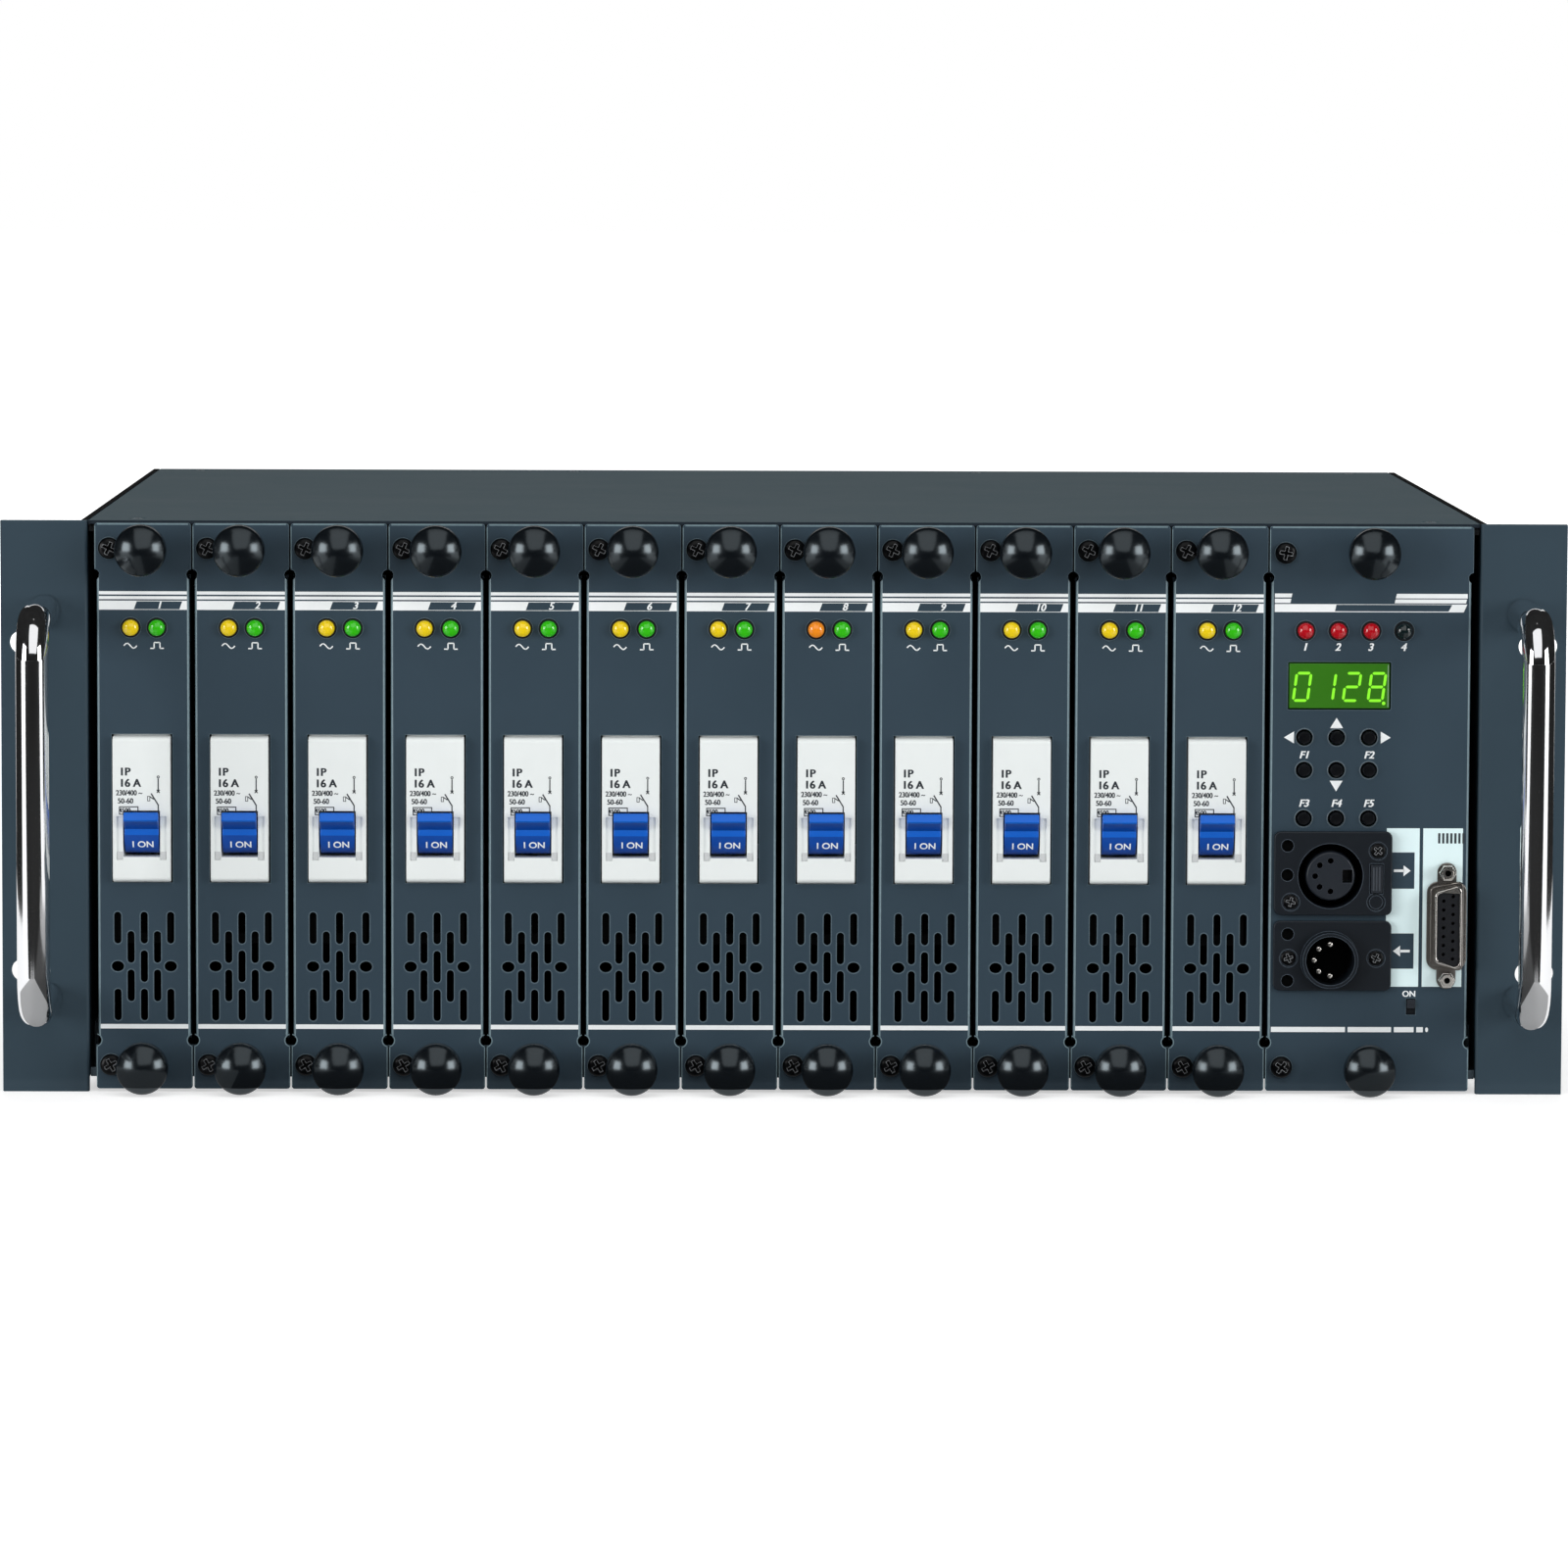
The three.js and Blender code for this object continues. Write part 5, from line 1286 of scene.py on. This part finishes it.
def backplane():
    half = INSIDE - SHEET - 0.6
    piece = Piece("backplane").add("board_green", block(-half, half, 290, 292, 6.1, 165, 0.2))
    for x in CARRIERS:
        left = x + SHEET / 2
        walls = [box_outline(left, left + 16, 81, 115), box_outline(left + 2.2, left + 13.8, 84, 112)]
        floor = block(left + 1, left + 15, 284, 290.1, 82, 114, 0.3)
        contacts = [block(left + 5.5, left + 10.5, 276, 286, z, z + 1.4, 0.1) for z in range(86, 111, 4)]
        piece.add("socket_black", plate(walls, 270, 290, 0.3), floor).add("gold", *contacts)
    bus_bars = [block(-half + 6, half - 6, 289.6, 290.1, z, z + 5, 0.1) for z in (30, 44, 128, 142)]
    return piece.add("zinc", *bus_bars).mesh()


for name, hand in (("left", -1), ("right", 1)):
    place("side_wall_" + name, side_panel(hand), "chassis", 0, ["side_" + name])
    place("bail_" + name, bail_handle(hand), "chassis", 0, ["handle_" + name])
    place("fan_" + name, cooling_fan(hand * FAN_X), "chassis")
place("tray", chassis_tray(), "chassis", 0, ["chassis_tray"])
place("cover", top_cover(), "chassis", 0, ["top_cover"])
place("back_board", backplane(), "chassis", 0, ["backplane"])

# The front rail keeps its own shape
rail_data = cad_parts["rail_top"].data
rail_data.materials.clear()
rail_data.materials.append(finishes["rail_steel"])


# Studio, in metres

FLOOR_LIFT = 0.55
FLOOR_HALF = 14.0
WORLD_LIGHT = 0.25


def plain_sight(tree):
    """1 for rays of the camera and for those that reflect or pass through, otherwise 0."""
    rays = node(tree, "LightPath", {}).outputs
    seen = {0: rays["Is Camera Ray"], 1: rays["Is Glossy Ray"]}
    seen = {0: node(tree, "Math", seen, operation="MAXIMUM").outputs[0], 1: rays["Is Transmission Ray"]}
    return node(tree, "Math", seen, operation="MAXIMUM").outputs[0]


def floor_material():
    """A white floor that fades into the white background and keeps the object's shadow."""
    made = bpy.data.materials.new("floor")
    made.use_nodes = True
    tree = made.node_tree
    tree.nodes.clear()
    diffuse = node(tree, "BsdfDiffuse", {"Color": (0.8, 0.8, 0.8, 1)})
    place_in = node(tree, "TexCoord", {}).outputs["Object"]
    length = node(tree, "VectorMath", {0: place_in}, operation="LENGTH").outputs["Value"]
    reach = {"From Min": 0.5, "From Max": 2.5, "To Min": FLOOR_LIFT, "To Max": 1, "Value": length}
    fade = node(tree, "MapRange", reach).outputs["Result"]
    share = node(tree, "Math", {0: plain_sight(tree), 1: fade}, operation="MULTIPLY").outputs[0]
    light = node(tree, "Emission", {"Strength": share})
    both = node(tree, "AddShader", {0: diffuse.outputs[0], 1: light.outputs[0]})
    node(tree, "OutputMaterial", {"Surface": both.outputs[0]})
    return made


def board_material(name, share):
    made = bpy.data.materials.new(name)
    made.use_nodes = True
    values = {"Base Color": (share, share, share, 1), "Roughness": 1, "Specular IOR Level": 0}
    fill(made.node_tree, made.node_tree.nodes["Principled BSDF"], values)
    return made


def staged(name, mesh, finish, hidden_from=()):
    """A piece of the studio, which isn't part of the object."""
    mesh.materials.append(finish)
    thing = stand(name, mesh)
    for rays in hidden_from:
        setattr(thing, "visible_" + rays, False)


NO_REFLECTION = ("camera", "diffuse", "transmission", "shadow")


def dark_board(name, finish, rows):
    """A board round the object, which only reflections show."""
    staged(name, from_rows(rows, False, False, False), finish, NO_REFLECTION)


def fan_rows(start, end, places):
    """Rows of points at (reach, height), from one bearing to another, measured from the front."""
    count = max(2, round((end - start) / 6))
    bearings = [math.radians(start + (end - start) * i / count) for i in range(count + 1)]
    return [[(r * math.sin(b), FRONT_Y - r * math.cos(b), z) for b in bearings] for r, z in places]


floor_mesh = bpy.data.meshes.new("floor")
corners = [(x, y, 0) for x, y in box_outline(-FLOOR_HALF, FLOOR_HALF, -FLOOR_HALF, FLOOR_HALF)]
floor_mesh.from_pydata(corners, [], [(0, 1, 2, 3)])
staged("floor", floor_mesh, floor_material())

world = bpy.data.worlds.new("studio")
bpy.context.scene.world = world
world.use_nodes = True
tree = world.node_tree
level = node(tree, "MapRange", {"To Min": WORLD_LIGHT, "To Max": 1, "Value": plain_sight(tree)})
fill(tree, tree.nodes["Background"], {"Color": (1, 1, 1, 1), "Strength": level.outputs["Result"]})

LIFT = 0.003  # of the boards that lie on the floor
NEAR_HALF = 0.17
NEAR_END = 0.33
NEAR_REACH = 0.4
SIDE_BOARD = [(0.75, LIFT), (3.6, LIFT)]
screen_black = board_material("dark_board", 0.03)
screen_dim = board_material("dim_board", 0.1)
screen_grey = board_material("grey_board", 0.62)
for name, start, end, places in (
    ("board_low", -180, 180, [(3.7, LIFT), (3.5, 1.2)]),
    ("board_high", -155, 155, [(3.5, 1.2), (3.0, 2.2)]),
    ("board_top", -180, 180, [(3.0, 2.2), (1.8, 3.2), (0.1, 3.7)]),
    ("board_floor", -50, 50, [(NEAR_REACH, LIFT), (3.6, LIFT)]),
    ("board_right", 76, 150, SIDE_BOARD),
    ("board_left", -150, -76, SIDE_BOARD),
):
    dark_board(name, screen_black, fan_rows(start, end, places))
for name, finish, left, right in (
    ("board_near", screen_dim, -NEAR_HALF, NEAR_HALF),
    ("board_near_left", screen_grey, -NEAR_END, -NEAR_HALF),
    ("board_near_right", screen_grey, NEAR_HALF, NEAR_END),
):
    rows = [[(x, y, LIFT) for x in (left, right)] for y in (FRONT_Y - 0.002, FRONT_Y - NEAR_REACH)]
    dark_board(name, finish, rows)


def soft_light(name, power, size, place_at, aim):
    data = bpy.data.lights.new(name, "AREA")
    data.shape = "RECTANGLE"
    data.size, data.size_y = size
    data.energy = power
    thing = stand(name, data)
    thing.location = place_at
    thing.rotation_euler = (Vector(aim) - Vector(place_at)).to_track_quat("-Z", "Y").to_euler()
    return thing


SIDE_BEARING = math.radians(55)
SIDE_REACH = 3.0
SIDE_HEIGHT = 0.71
for name, hand in (("box_left", -1), ("box_right", 1)):
    x = hand * SIDE_REACH * math.sin(SIDE_BEARING)
    y = FRONT_Y - SIDE_REACH * math.cos(SIDE_BEARING)
    soft_light(name, 41.5, (1.26, 1.36), (x, y, SIDE_HEIGHT), (0, FRONT_Y, SIDE_HEIGHT))
soft_light("box_top", 4.6, (1.1, 1.25), (0.0, FRONT_Y - 0.75, 0.85), (0, FRONT_Y, 0.1))
back_light = soft_light("box_back", 43, (1.8, 1.2), (0, 2.7, 1.5), (0, -FRONT_Y, 0.09))
back_light.visible_glossy = False

PHOTO_WIDTH = 1600
FOCAL_PIXELS = 7829
camera_data = bpy.data.cameras.new("camera")
camera_data.sensor_width = 36
camera_data.lens = FOCAL_PIXELS / PHOTO_WIDTH * 36
camera_data.clip_end = 60
camera = stand("camera", camera_data)
camera.matrix_world = (
    Matrix.Translation((-0.0269, FRONT_Y - 2.3586, 0.3102))
    @ Matrix.Rotation(-0.0114, 4, "Z")
    @ Matrix.Rotation(math.pi / 2 - 0.0905, 4, "X")
    @ Matrix.Rotation(0.0036, 4, "Z")
)
bpy.context.scene.camera = camera
bpy.context.scene.view_settings.view_transform = "Standard"

bpy.context.view_layer.update()
